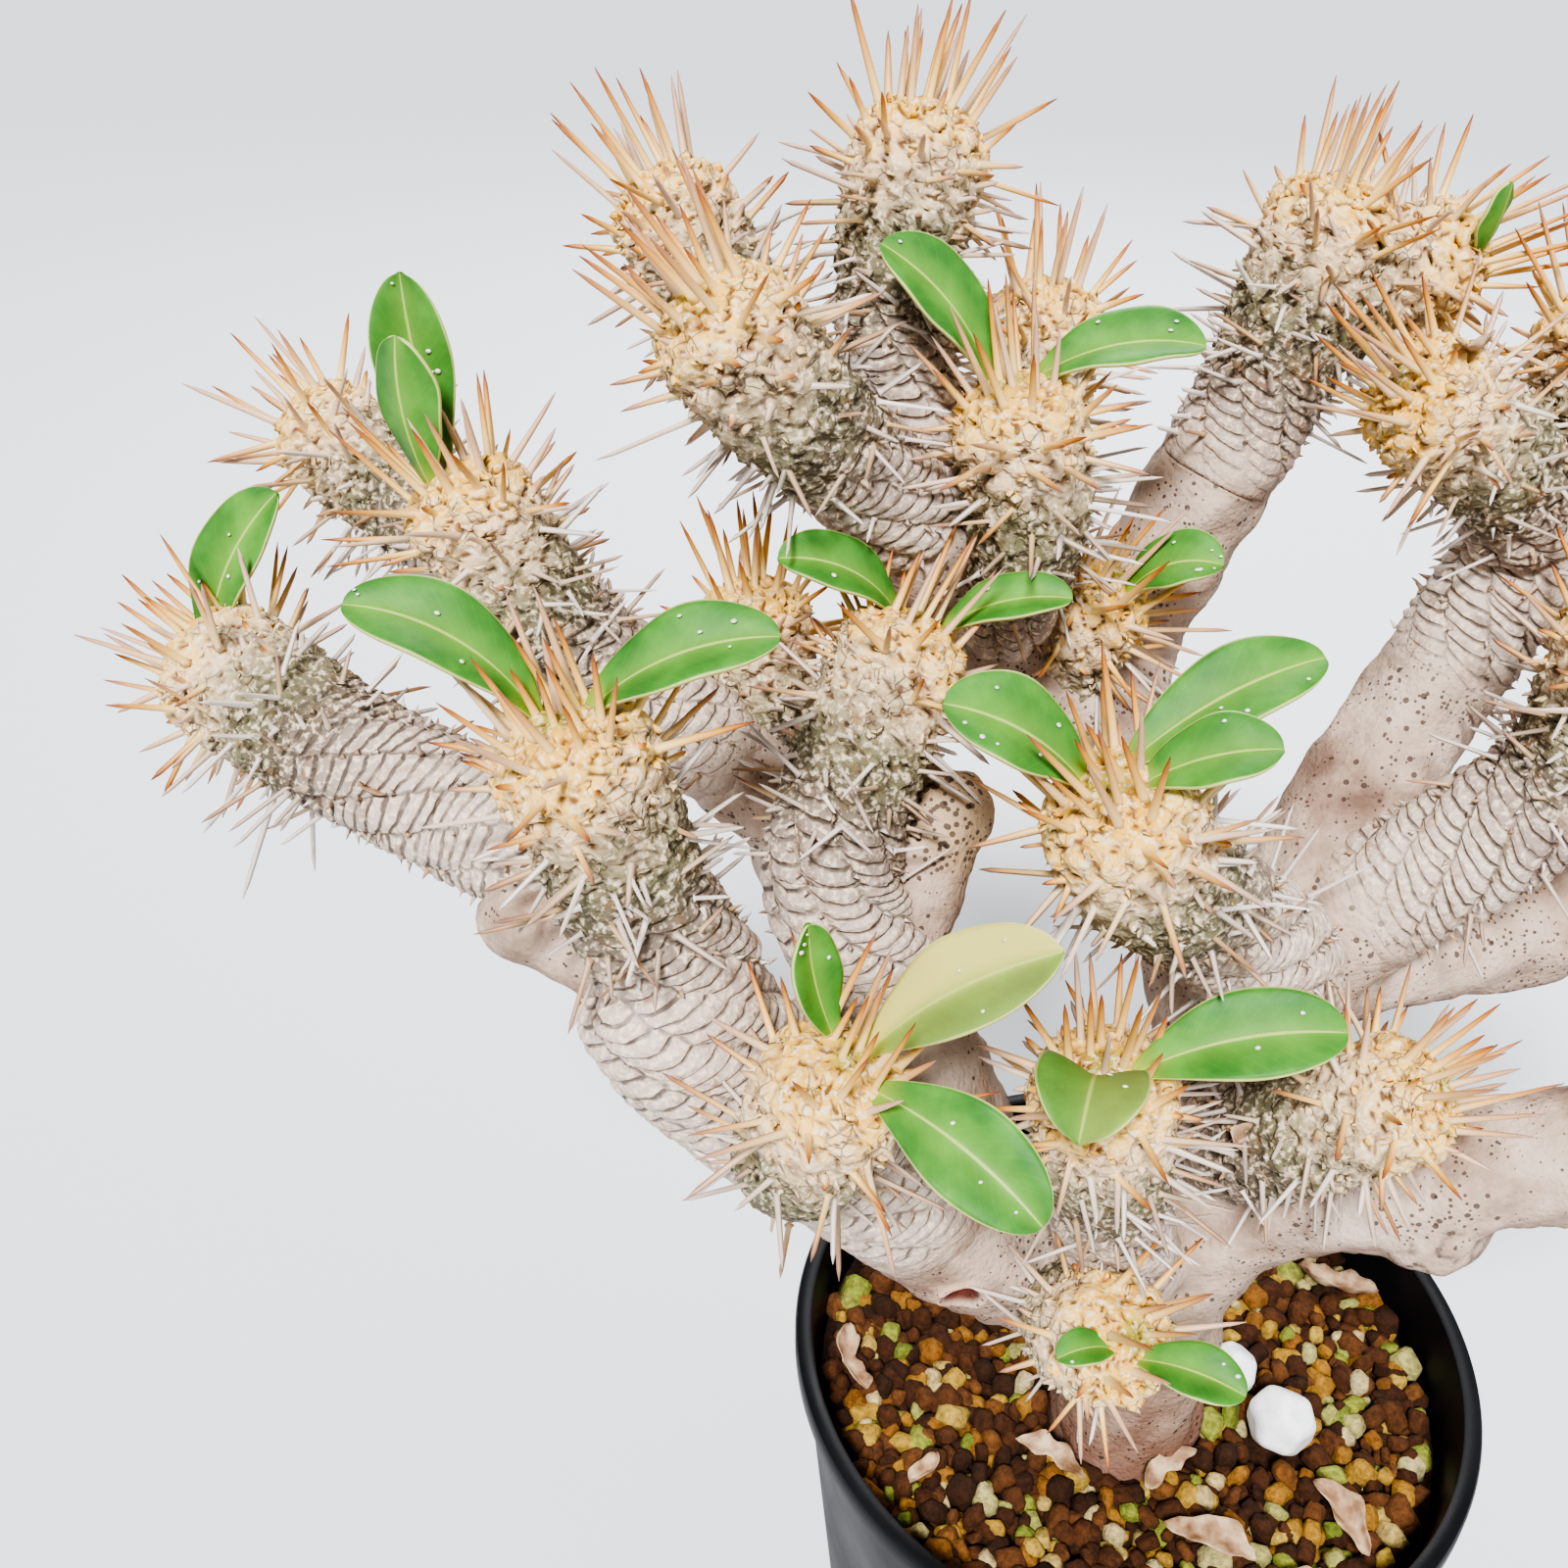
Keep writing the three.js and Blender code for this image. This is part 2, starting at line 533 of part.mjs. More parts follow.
// The blade: three points across each row, folded in a V along the rib, with the same triangles on both
// faces.
function leafSolid(leaf, base) {
  const rows = leafRib(leaf, base);
  const fold = radians(LEAF.fold);
  const corners = [];
  for (const offset of [LEAF.thickness / 2, -LEAF.thickness / 2]) {
    rows.forEach(({ t, point, side, face }) => {
      const half = Math.max(LEAF.stalkWidth, leaf.width * leafWidthAt(t)) / 2;
      [-1, 0, 1].forEach((across) => {
        const corner = point.clone().addScaledVector(face, offset);
        corner.addScaledVector(side, across * half * Math.cos(fold));
        corner.addScaledVector(face, Math.abs(across) * half * Math.sin(fold));
        corners.push(corner.x, corner.y, corner.z);
      });
    });
  }
  const back = rows.length * 3;
  const faces = [];
  const quad = (a, b, c, d) => faces.push(a, b, c, a, c, d);
  for (let i = 0; i < rows.length - 1; i++) {
    for (let j = 0; j < 2; j++) {
      const a = i * 3 + j;
      faces.push(a, a + 3, a + 4, a, a + 4, a + 1);
      faces.push(back + a, back + a + 4, back + a + 3, back + a, back + a + 1, back + a + 4);
    }
    const left = i * 3;
    const right = i * 3 + 2;
    quad(left + 3, left, back + left, back + left + 3);
    quad(right, right + 3, back + right + 3, back + right);
  }
  const end = back - 3;
  for (let j = 0; j < 2; j++) {
    quad(j, j + 1, back + j + 1, back + j);
    quad(end + j + 1, end + j, back + end + j, back + end + j + 1);
  }
  const geometry = new THREE.BufferGeometry();
  geometry.setAttribute("position", new THREE.BufferAttribute(new Float32Array(corners), 3));
  geometry.setIndex(faces);
  return solidOf(geometry);
}

// The plant

const stemLine = new CentreLine(LIMBS.stem);
const limbLines = Object.entries(LIMBS).map(([name, route]) => [name, new CentreLine(route)]);
const branches = Object.entries(BRANCHES).map(([number, { route, start, fork }]) => ({
  number,
  name: "shoot_" + number.padStart(2, "0"),
  line: new CentreLine(route),
  start,
  fork: fork ? new CentreLine(fork.route) : null,
}));

// The trunk holds every limb, and each branch up to where its shoot starts.
function trunk(grow = 0) {
  const limbs = limbLines.map(([name, line]) =>
    stemSolid(line, { ...LIMB, dome: /Stub/.test(name) ? LIMB.stubDome : 0, grow }),
  );
  const stumps = branches
    .filter(({ start }) => start > 0)
    .map(({ line, start }) => stemSolid(line, { ...LIMB, to: start, grow }));
  return join([...limbs, ...stumps]);
}

// The bare stem of a shoot. A forked shoot has two heads on one stem.
function shootCore({ line, start, fork }, grow = 0) {
  const shape = { ...SHOOT, grow };
  const main = stemSolid(line, { ...shape, from: start + GAP });
  const whole = (fork ? main.add(stemSolid(fork, shape)) : main).subtract(trunkSeat);
  return largest(whole);
}

const ground = soil(stemLine);
const vessel = pot();
const trunkSolid = trunk();
const trunkSeat = trunk(GAP); // what the shoots are cut to, so that they meet the limbs with a small gap
const cores = new Map(branches.map((branch) => [branch.name, shootCore(branch)]));

function leafOf(leaf) {
  const branch = branches.find(({ number }) => Number(number) === leaf.shoot);
  const line = leaf.fork ? branch.fork : branch.line;
  const { centre, tangent } = line.at(line.length - LEAF.baseDepth);
  const out = new THREE.Vector3(Math.cos(radians(leaf.from)), Math.sin(radians(leaf.from)), 0);
  out.addScaledVector(tangent, -out.dot(tangent)).normalize();
  const blade = leafSolid(leaf, centre.clone().addScaledVector(out, LEAF.baseReach));
  return largest(blade.subtract(shootCore(branch, GAP)));
}

const leaves = new Map(Object.entries(LEAVES).map(([name, leaf]) => [name, leafOf(leaf)]));

const boxed = (solid) => ({ solid, box: solid.boundingBox() });

function growSpines() {
  const still = [boxed(trunkSolid), boxed(ground), boxed(vessel), ...[...leaves.values()].map(boxed)];
  const shoots = new Map(cores);
  for (const branch of branches) {
    const random = randomFrom(1000 + Number(branch.number));
    const rest = [...shoots].filter(([name]) => name !== branch.name).map(([, solid]) => boxed(solid));
    const others = [...still, ...rest];
    const places = spinePlaces(branch.line, branch.start, random);
    if (branch.fork) places.push(...spinePlaces(branch.fork, SPINE.bareFork, random));
    const spines = places.map((place) => clearSpine(place, others)).filter(Boolean);
    shoots.set(branch.name, join([cores.get(branch.name), ...spines]));
  }
  return shoots;
}

// Colours and finishes

const paint = (color, roughness) => new THREE.MeshStandardMaterial({ color, roughness, metalness: 0 });
const plant = new THREE.Group();
plant.add(meshOf("pot", vessel, paint(0x1b1c1f, 0.45)));
plant.add(meshOf("soil", ground, paint(0x7a4f2c, 0.95)));
for (const [name, shape] of Object.entries(PELLETS)) {
  plant.add(meshOf(name, pellet(shape, ground), paint(0xe9ebee, 0.8)));
}
plant.add(meshOf("trunk", trunkSolid, paint(0xb3a295, 0.85)));
for (const [name, solid] of growSpines()) plant.add(meshOf(name, solid, paint(0xc2ab8c, 0.8)));
for (const [name, solid] of leaves) plant.add(meshOf(name, solid, paint(0x4d9a45, 0.4)));

export default plant;
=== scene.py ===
"""The looks of a potted Euphorbia guillauminiana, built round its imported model.

Lengths are in millimetres until a mesh is stored, which is in metres. The pot stands on z = 0 and its axis is
the z axis.
"""

import logging
import math
import random
from dataclasses import dataclass, field
from enum import Enum
from functools import cached_property, partial

import bmesh
import bpy
import numpy as np
from bpy.types import ID, Material, Mesh, Node, NodeSocket, NodeTree, Object
from mathutils import Euler, Matrix, Vector
from mathutils.bvhtree import BVHTree


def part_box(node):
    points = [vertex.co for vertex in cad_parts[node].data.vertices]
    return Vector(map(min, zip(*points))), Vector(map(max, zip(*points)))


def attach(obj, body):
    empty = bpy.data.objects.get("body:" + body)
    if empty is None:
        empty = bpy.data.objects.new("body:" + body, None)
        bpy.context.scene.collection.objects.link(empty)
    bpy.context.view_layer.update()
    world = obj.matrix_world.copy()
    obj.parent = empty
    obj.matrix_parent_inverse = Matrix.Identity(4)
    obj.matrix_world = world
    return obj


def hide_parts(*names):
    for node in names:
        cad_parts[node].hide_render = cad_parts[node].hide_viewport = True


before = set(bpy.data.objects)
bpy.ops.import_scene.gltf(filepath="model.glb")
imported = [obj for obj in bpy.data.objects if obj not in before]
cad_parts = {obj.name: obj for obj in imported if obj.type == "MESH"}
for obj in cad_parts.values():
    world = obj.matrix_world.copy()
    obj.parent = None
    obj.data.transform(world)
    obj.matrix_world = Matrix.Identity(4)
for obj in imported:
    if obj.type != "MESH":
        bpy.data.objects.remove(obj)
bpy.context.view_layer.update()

logging.basicConfig(level=logging.INFO, format="%(message)s")
log = logging.getLogger("plant")

MM = 0.001
BODY = "root"
GOLDEN_ANGLE = math.radians(137.5)
CROWN_AGE = 2.3  # how far below its tip the long upright spines stand
HEAD_AGE = 22.0  # how far below its tip a shoot still wears its warty head
SPINY_AGE = 34.0  # how far below the tip whole spines stand
BARE_AGE = 140.0  # the age given to bark that has lost its scars
RUNG_SLANT = 0.25  # how many steps a rung of scars climbs across its column
RUNG_ARC = 0.4  # how many steps the ends of a rung lie off its middle


# Colours and nodes


def linear(hex_colour: str) -> tuple[float, float, float, float]:
    """Turns an sRGB colour into linear light.

    Args:
        hex_colour: The colour as #rrggbb.

    Returns:
        Red, green, blue and an alpha of 1.
    """
    channels = [int(hex_colour[i:i + 2], 16) / 255 for i in (1, 3, 5)]
    light = [c / 12.92 if c <= 0.04045 else ((c + 0.055) / 1.055) ** 2.4 for c in channels]
    return (*light, 1.0)


def add_node(
    tree: NodeTree, kind: str, inputs: dict | None = None, ramp: tuple = (), **settings: object
) -> Node:
    """Adds one node with its settings and links.

    Args:
        tree: The node tree that it joins.
        kind: The node's type, without the ShaderNode that every shader type starts with.
        inputs: What each input takes, by its name or number: a value, a socket, or a node's first output.
        ramp: The stops of a colour ramp, as pairs of a place and a hex colour.
        settings: The node's own properties.

    Returns:
        The node.
    """
    node = tree.nodes.new("ShaderNode" + kind)
    for name, value in settings.items():
        setattr(node, name, value)
    for key, value in (inputs or {}).items():
        source = value.outputs[0] if isinstance(value, Node) else value
        if isinstance(source, NodeSocket):
            tree.links.new(source, node.inputs[key])
        else:
            node.inputs[key].default_value = source
    if ramp:
        stops = node.color_ramp.elements
        while len(stops) < len(ramp):
            stops.new(1.0)
        for stop, (place, colour) in zip(stops, ramp):
            stop.position = place
            stop.color = linear(colour)
    return node


@dataclass(frozen=True)
class Finish:
    """What a surface is made of. Each kind of surface has its own nodes."""

    name: str
    roughness: float = 0.6
    ior: float = 1.45

    def material(self) -> Material:
        """Makes the material, with its nodes.

        Returns:
            The material.
        """
        made = bpy.data.materials.new(self.name)
        made.use_nodes = True
        tree = made.node_tree
        tree.nodes.clear()
        surface = {"IOR": self.ior, "Roughness": self.roughness, **self.sockets(tree)}
        add_node(tree, "OutputMaterial", {"Surface": add_node(tree, "BsdfPrincipled", surface)})
        return made

    def sockets(self, tree: NodeTree) -> dict:
        """The inputs that this finish gives the shader.

        Args:
            tree: The material's node tree.

        Returns:
            What each input of the shader takes, by its name.
        """
        raise NotImplementedError


@dataclass(frozen=True)
class MouldedPolypropylene(Finish):
    """Injection-moulded polypropylene: near black, satin, with a faint grain and a little dust."""

    plastic: str = "#121317"
    dust: str = "#2e3034"
    grain_mm: float = 0.9  # the real grain is finer, and is drawn coarse enough to show

    def sockets(self, tree: NodeTree) -> dict:
        """Plastic with dust in patches, and a fine grain."""
        add = partial(add_node, tree)
        place = add("TexCoord").outputs["Object"]
        patches = add("TexNoise", {"Vector": place, "Scale": 38.0, "Detail": 5.0})
        amount = add("MapRange", {0: patches, 1: 0.5, 2: 0.78, 4: 0.22})
        colour = add("MixRGB", {"Fac": amount, "Color1": linear(self.plastic), "Color2": linear(self.dust)})
        grain = add("TexNoise", {"Vector": place, "Scale": 1 / (self.grain_mm * MM)})
        bump = add("Bump", {"Height": grain, "Strength": 0.12, "Distance": 0.0002})
        rough = add("MapRange", {0: patches, 1: 0.3, 2: 0.75, 3: self.roughness, 4: 0.6})
        return {"Base Color": colour, "Roughness": rough, "Normal": bump, "Specular IOR Level": 0.35}


@dataclass(frozen=True)
class BakedClay(Finish):
    """Baked clay grains: dull, porous and dusty, each in one of several colours that its tone picks."""

    def sockets(self, tree: NodeTree) -> dict:
        """A colour for each grain, with specks and pores."""
        add = partial(add_node, tree)
        tone = add("Attribute", attribute_name="tone").outputs["Fac"]
        place = add("TexCoord").outputs["Object"]
        hues = add(
            "ValToRGB", {"Fac": tone},
            ramp=(
                (0.0, "#3b2313"), (0.2, "#4c2c17"), (0.4, "#5c381e"), (0.56, "#6f4727"), (0.66, "#8a5d2a"),
                (0.75, "#a37a35"), (0.82, "#b09346"), (0.88, "#bfae84"), (0.94, "#8f9442"), (1.0, "#727d34"),
            ),
        )
        specks = add("TexNoise", {"Vector": place, "Scale": 800.0, "Detail": 5.0, "Roughness": 0.65})
        shade = add("MapRange", {0: specks, 1: 0.32, 2: 0.68, 3: 0.5, 4: 1.3})
        colour = add("MixRGB", {"Fac": 1.0, "Color1": hues, "Color2": shade}, blend_type="MULTIPLY")
        bump = add("Bump", {"Height": specks, "Strength": 0.8, "Distance": 0.0009})
        return {"Base Color": colour, "Normal": bump}


@dataclass(frozen=True)
class ChalkyPellet(Finish):
    """A pressed white pellet: matt and chalky, bluish white, with faint grey smudges."""

    def sockets(self, tree: NodeTree) -> dict:
        """White with faint smudges and a fine tooth."""
        add = partial(add_node, tree)
        place = add("TexCoord").outputs["Object"]
        smudges = add("TexNoise", {"Vector": place, "Scale": 260.0, "Detail": 5.0})
        colour = add(
            "ValToRGB", {"Fac": smudges}, ramp=((0.3, "#d3d6db"), (0.5, "#eceef1"), (0.7, "#f8f8f9"))
        )
        bump = add("Bump", {"Height": smudges, "Strength": 0.35, "Distance": 0.0004})
        return {"Base Color": colour, "Normal": bump}


@dataclass(frozen=True)
class SucculentSkin(Finish):
    """Skin of a spiny succulent stem: cream and corky at the tip, greenish grey and then dark below it,
    pale ladders of scars further down, and in the end smooth beige bark with dark pits."""

    age_span: float = 70.0
    crackle_mm: float = 2.1  # how wide the flakes of the crust are

    def sockets(self, tree: NodeTree) -> dict:
        """Living skin or bare bark, with dark grooves that are partly their own colour and partly painted
        shade, and a relief finer than the mesh.
        """
        add = partial(add_node, tree)
        place = add("TexCoord").outputs["Object"]
        fine = add("TexNoise", {"Vector": place, "Scale": 1100.0, "Detail": 3.0})
        blotch = add("TexNoise", {"Vector": place, "Scale": 190.0, "Detail": 4.0})
        age, groove, bare = (
            add("Attribute", attribute_name=name).outputs["Fac"]
            for name in ("age", "groove", "bare")
        )
        shifted = add("Math", {0: blotch, 1: 14.0, 2: -7.0}, operation="MULTIPLY_ADD")
        drifting = add("Math", {0: age, 1: shifted}, operation="ADD")
        share = add("Math", {0: drifting, 1: self.age_span}, operation="DIVIDE")

        living, cracks = self.living(tree, place, share, age, (fine, blotch))
        surface = add("MixRGB", {"Fac": bare, "Color1": living, "Color2": self.bark(tree, place)})
        rungs = self.ladder(tree, blotch)
        # partly painted shade: the grooves and the ladder's gaps are darkened where the relief sinks, over
        # their own darker colour
        line = add(
            "ValToRGB", {"Fac": share},
            ramp=((0.0, "#7a4d1c"), (0.12, "#6a4526"), (0.3, "#33291f"), (0.5, "#54463b"), (1.0, "#6f6156")),
        )
        deep = add("MapRange", {0: groove, 1: 0.1, 2: 0.65, 4: 0.9})
        darkest = add("Math", {0: deep, 1: rungs}, operation="MAXIMUM")
        lined = add("MixRGB", {"Fac": darkest, "Color1": surface, "Color2": line})
        sunk = add("Math", {0: cracks, 1: -0.6, 2: fine}, operation="MULTIPLY_ADD")
        sunk = add("Math", {0: rungs, 1: -1.1, 2: sunk}, operation="MULTIPLY_ADD")
        bump = add("Bump", {"Height": sunk, "Strength": 0.75, "Distance": 0.0006})
        return {"Base Color": lined, "Normal": bump}

    def living(
        self, tree: NodeTree, place: NodeSocket, share: Node,
        age: NodeSocket, noises: tuple[Node, Node],
    ) -> tuple[Node, Node]:
        """The living skin, whose colour follows its age under a broken pale crust.

        Args:
            tree: The material's node tree.
            place: The socket of the place.
            share: The node of the drifting age, from 0 to 1.
            age: The socket of the age.
            noises: The nodes of the fine noise and the blotches.

        Returns:
            The nodes of the colour and of the cracks.
        """
        add = partial(add_node, tree)
        fine, blotch = noises
        skin = add(
            "ValToRGB", {"Fac": share},
            ramp=(
                (0.0, "#e3b457"), (0.06, "#edc67b"), (0.12, "#e2c6a0"), (0.2, "#b4a588"), (0.28, "#7f7a5e"),
                (0.37, "#6e6453"), (0.47, "#a29186"), (0.6, "#c9b8ad"), (1.0, "#c3b3a8"),
            ),
        )
        budding = add("MapRange", {0: age, 1: 0.4, 2: 0.1, 4: 0.7})
        rusty = add("TexNoise", {"Vector": place, "Scale": 330.0, "Detail": 3.0})
        rust_at = add("MapRange", {0: rusty, 1: 0.56, 2: 0.7, 4: 0.5})
        crust_at = add("MapRange", {0: fine, 1: 0.5, 2: 0.62, 4: 0.75})
        crackle = add(
            "TexVoronoi", {"Vector": place, "Scale": 1 / (self.crackle_mm * MM)}, feature="DISTANCE_TO_EDGE"
        )
        crack = add("MapRange", {0: crackle, 1: 0.07, 2: 0.01, 4: 0.8})
        here = add("MapRange", {0: blotch, 1: 0.5, 2: 0.6, 4: 0.75})
        upper = add("MapRange", {0: age, 1: 30.0, 2: 20.0, 4: 1.0})
        patchy = add("Math", {0: crack, 1: here}, operation="MULTIPLY")
        cracks = add("Math", {0: patchy, 1: upper}, operation="MULTIPLY")
        stains = ((budding, "#8c963a"), (rust_at, "#8f6740"), (crust_at, "#eadac2"), (cracks, "#4d3a29"))
        for amount, colour in stains:
            skin = add("MixRGB", {"Fac": amount, "Color1": skin, "Color2": linear(colour)})
        return skin, cracks

    def ladder(self, tree: NodeTree, blotch: Node) -> Node:
        """Dark lines between the steps of the scars and between their columns, partly their own colour and
        partly painted shade in these grooves.

        Args:
            tree: The material's node tree.
            blotch: The node of the noise that breaks the lines up.

        Returns:
            The node of their depth, from 0 to 1.
        """
        add = partial(add_node, tree)
        across, climb = add("SeparateXYZ", {0: add("UVMap", uv_map="scars")}).outputs[:2]
        ladder = add("Attribute", attribute_name="ladder").outputs["Fac"]
        column = add("Math", {0: across}, operation="FLOOR")
        inside = add("Math", {0: across}, operation="FRACT")
        odd = add("Math", {0: column, 1: 2.0}, operation="FLOORED_MODULO")
        offset = add("Math", {0: odd, 1: 0.5, 2: climb}, operation="MULTIPLY_ADD")
        slanted = add("Math", {0: inside, 1: RUNG_SLANT, 2: offset}, operation="MULTIPLY_ADD")
        aside = add("Math", {0: inside, 1: 2.0, 2: -1.0}, operation="MULTIPLY_ADD")
        off = add("Math", {0: aside, 1: aside}, operation="MULTIPLY")
        arched = add("Math", {0: off, 1: RUNG_ARC, 2: slanted}, operation="MULTIPLY_ADD")
        gap = add("Math", {0: arched, 1: 0.5}, operation="PINGPONG")
        border = add("Math", {0: across, 1: 0.5}, operation="PINGPONG")
        rung_line = add("MapRange", {0: gap, 1: 0.14, 2: 0.04, 4: 1.0})
        side_line = add("MapRange", {0: border, 1: 0.06, 2: 0.01, 4: 0.7})
        both = add("Math", {0: rung_line, 1: side_line}, operation="MAXIMUM")
        broken = add("MapRange", {0: blotch, 1: 0.38, 2: 0.56, 3: 0.35, 4: 0.85})
        shown = add("Math", {0: both, 1: broken}, operation="MULTIPLY")
        return add("Math", {0: shown, 1: ladder}, operation="MULTIPLY")

    def bark(self, tree: NodeTree, place: NodeSocket) -> Node:
        """Smooth old bark, browner at the foot, darker and browner underneath as painted shade, with dark
        pits in patches.

        Args:
            tree: The material's node tree.
            place: The socket of the place.

        Returns:
            The node of the colour.
        """
        add = partial(add_node, tree)
        tone = add("TexNoise", {"Vector": place, "Scale": 60.0, "Detail": 6.0, "Roughness": 0.6})
        bark = add(
            "ValToRGB", {"Fac": tone},
            ramp=((0.3, "#7d6355"), (0.43, "#a68f7e"), (0.55, "#c1ad9d"), (0.68, "#cfbdaf")),
        )
        # painted shade: the bark is drawn darker and browner where its face turns down
        facing = add("SeparateXYZ", {0: add("NewGeometry").outputs["Normal"]})
        below = add("MapRange", {0: facing.outputs["Z"], 1: 0.1, 2: -0.75, 4: 0.6})
        height = add("SeparateXYZ", {0: place})
        foot = add("MapRange", {0: height.outputs["Z"], 1: 0.13, 2: 0.1, 4: 0.75})
        speck = add("Attribute", attribute_name="speck").outputs["Fac"]
        tanned = add("Math", {0: speck, 1: 0.7}, operation="MULTIPLY")
        rust = add("Attribute", attribute_name="rust")
        rim = add("Math", {0: rust.outputs["Fac"], 1: -0.9}, operation="MULTIPLY", use_clamp=True)
        # the first stain is painted shade on the undersides; the others are the bark's own stains
        stains = (
            (below, "#7a5642"), (foot, "#74452f"), (tanned, "#c0a27a"),
            (rust.outputs["Fac"], "#5f2b20"), (rim, "#d0ad97"),
        )
        for amount, colour in stains:
            bark = add("MixRGB", {"Fac": amount, "Color1": bark, "Color2": linear(colour)})
        for pit_mm, patch_mm, largest in ((2.2, 14.0, 0.22), (1.1, 9.0, 0.26)):
            pits = add("TexVoronoi", {"Vector": place, "Scale": 1 / (pit_mm * MM)})
            patches = add("TexNoise", {"Vector": place, "Scale": 1 / (patch_mm * MM), "Detail": 1.0})
            size = add("MapRange", {0: patches, 1: 0.38, 2: 0.6, 4: largest})
            grown = add("Math", {0: speck, 1: 0.2, 2: size}, operation="MULTIPLY_ADD")
            pit = add("Math", {0: pits, 1: grown}, operation="LESS_THAN")
            dark = add("Math", {0: pit, 1: 0.8}, operation="MULTIPLY")
            bark = add("MixRGB", {"Fac": dark, "Color1": bark, "Color2": linear("#40302a")})
        return bark


@dataclass(frozen=True)
class HornySpine(Finish):
    """Spines of hard dry tissue: straw with orange-brown tips when young, thin and ash grey when old."""

    def sockets(self, tree: NodeTree) -> dict:
        """Colours along the young spine, faded to grey as it ages."""
        add = partial(add_node, tree)
        along, age, tone = (
            add("Attribute", attribute_name=name).outputs["Fac"]
            for name in ("along", "age", "tone")
        )
        young = add(
            "ValToRGB", {"Fac": along},
            ramp=((0.0, "#edd296"), (0.3, "#e4bb75"), (0.66, "#d3964b"), (0.88, "#a45e28"), (1.0, "#5a2f15")),
        )
        ruddy = add("MapRange", {0: tone, 1: 0.55, 2: 1.0, 4: 0.55})
        varied = add("MixRGB", {"Fac": ruddy, "Color1": young, "Color2": linear("#b3805a")})
        old = add("ValToRGB", {"Fac": tone}, ramp=((0.0, "#93796a"), (0.4, "#bdaea3"), (1.0, "#ddd3ca")))
        aged = add("MapRange", {0: age, 1: 5.0, 2: 19.0, 4: 1.0})
        drift = add("Math", {0: tone, 1: 0.8, 2: -0.4}, operation="MULTIPLY_ADD")
        share = add("Math", {0: aged, 1: drift}, operation="ADD", use_clamp=True)
        colour = add("MixRGB", {"Fac": share, "Color1": varied, "Color2": old})
        return {"Base Color": colour}


@dataclass(frozen=True)
class LeatheryLeaf(Finish):
    """A thick leathery blade: mid green and softly glossy, with a pale rib and a thin cream margin."""

    fresh: str = "#4b8438"

    def sockets(self, tree: NodeTree) -> dict:
        """Green with a pale rib, margin and base, and faint side veins."""
        add = partial(add_node, tree)
        across, along, pale = (
            add("Attribute", attribute_name=name).outputs["Fac"]
            for name in ("across", "along", "pale")
        )
        place = add("TexCoord").outputs["Object"]
        mottle = add("TexNoise", {"Vector": place, "Scale": 170.0, "Detail": 4.0})
        green = add(
            "ValToRGB", {"Fac": mottle}, ramp=((0.3, "#3b7232"), (0.5, self.fresh), (0.72, "#629a43"))
        )
        aside = add("Math", {0: across}, operation="ABSOLUTE")
        slant = add("Math", {0: aside, 1: -0.22, 2: along}, operation="MULTIPLY_ADD")
        wave = add("Math", {0: slant, 1: 75.0}, operation="MULTIPLY")
        vein = add("Math", {0: wave}, operation="SINE")
        vein_at = add("MapRange", {0: vein, 1: 0.8, 2: 1.0, 4: 0.06})
        heart_at = add("MapRange", {0: aside, 1: 0.6, 2: 0.0, 4: 0.4})
        base_at = add("MapRange", {0: along, 1: 0.22, 2: 0.0, 4: 0.75})
        rib_at = add("MapRange", {0: aside, 1: 0.05, 2: 0.015, 4: 0.7})
        edge_at = add("MapRange", {0: aside, 1: 0.95, 2: 0.99, 4: 0.75})
        stains = (
            (vein_at, "#7fae68"), (heart_at, "#8ab351"), (base_at, "#b4b950"), (pale, "#d8cb7e"),
            (rib_at, "#c0c976"), (edge_at, "#cfd08c"),
        )
        for amount, colour in stains:
            green = add("MixRGB", {"Fac": amount, "Color1": green, "Color2": linear(colour)})
        fine = add("TexNoise", {"Vector": place, "Scale": 1500.0})
        bump = add("Bump", {"Height": fine, "Strength": 0.12, "Distance": 0.0002})
        return {
            "Base Color": green,
            "Normal": bump,
            "Specular IOR Level": 0.3,
            "Subsurface Weight": 0.1,
            "Subsurface Scale": 0.002,
        }


@dataclass(frozen=True)
class DryTissue(Finish):
    """Dead plant tissue: papery and matt, tan to grey, with fine fibres."""

    def sockets(self, tree: NodeTree) -> dict:
        """Tan with grey patches."""
        add = partial(add_node, tree)
        place = add("TexCoord").outputs["Object"]
        patches = add("TexNoise", {"Vector": place, "Scale": 330.0, "Detail": 5.0})
        colour = add(
            "ValToRGB", {"Fac": patches}, ramp=((0.3, "#74563c"), (0.48, "#a3856a"), (0.68, "#cbb597"))
        )
        return {"Base Color": colour}


@dataclass(frozen=True)
class MineralDot(Finish):
    """Dried latex or lime on a leaf: small, white and matt."""

    def sockets(self, tree: NodeTree) -> dict:
        """White that a fine noise breaks up."""
        add = partial(add_node, tree)
        place = add("TexCoord").outputs["Object"]
        speck = add("TexNoise", {"Vector": place, "Scale": 2200.0})
        colour = add("ValToRGB", {"Fac": speck}, ramp=((0.3, "#cfd2c8"), (0.7, "#f4f4ee")))
        return {"Base Color": colour}


@dataclass(frozen=True)
class StudioPaper(Finish):
    """Plain pale paper, for the floor of the studio."""

    def sockets(self, tree: NodeTree) -> dict:
        """One pale grey."""
        return {"Base Color": linear("#d5d7da")}


# Stems


class Skin(Enum):
    """How the scars of a stem look."""

    LADDER = "wide low steps in columns"
    WARTY = "small rough warts"


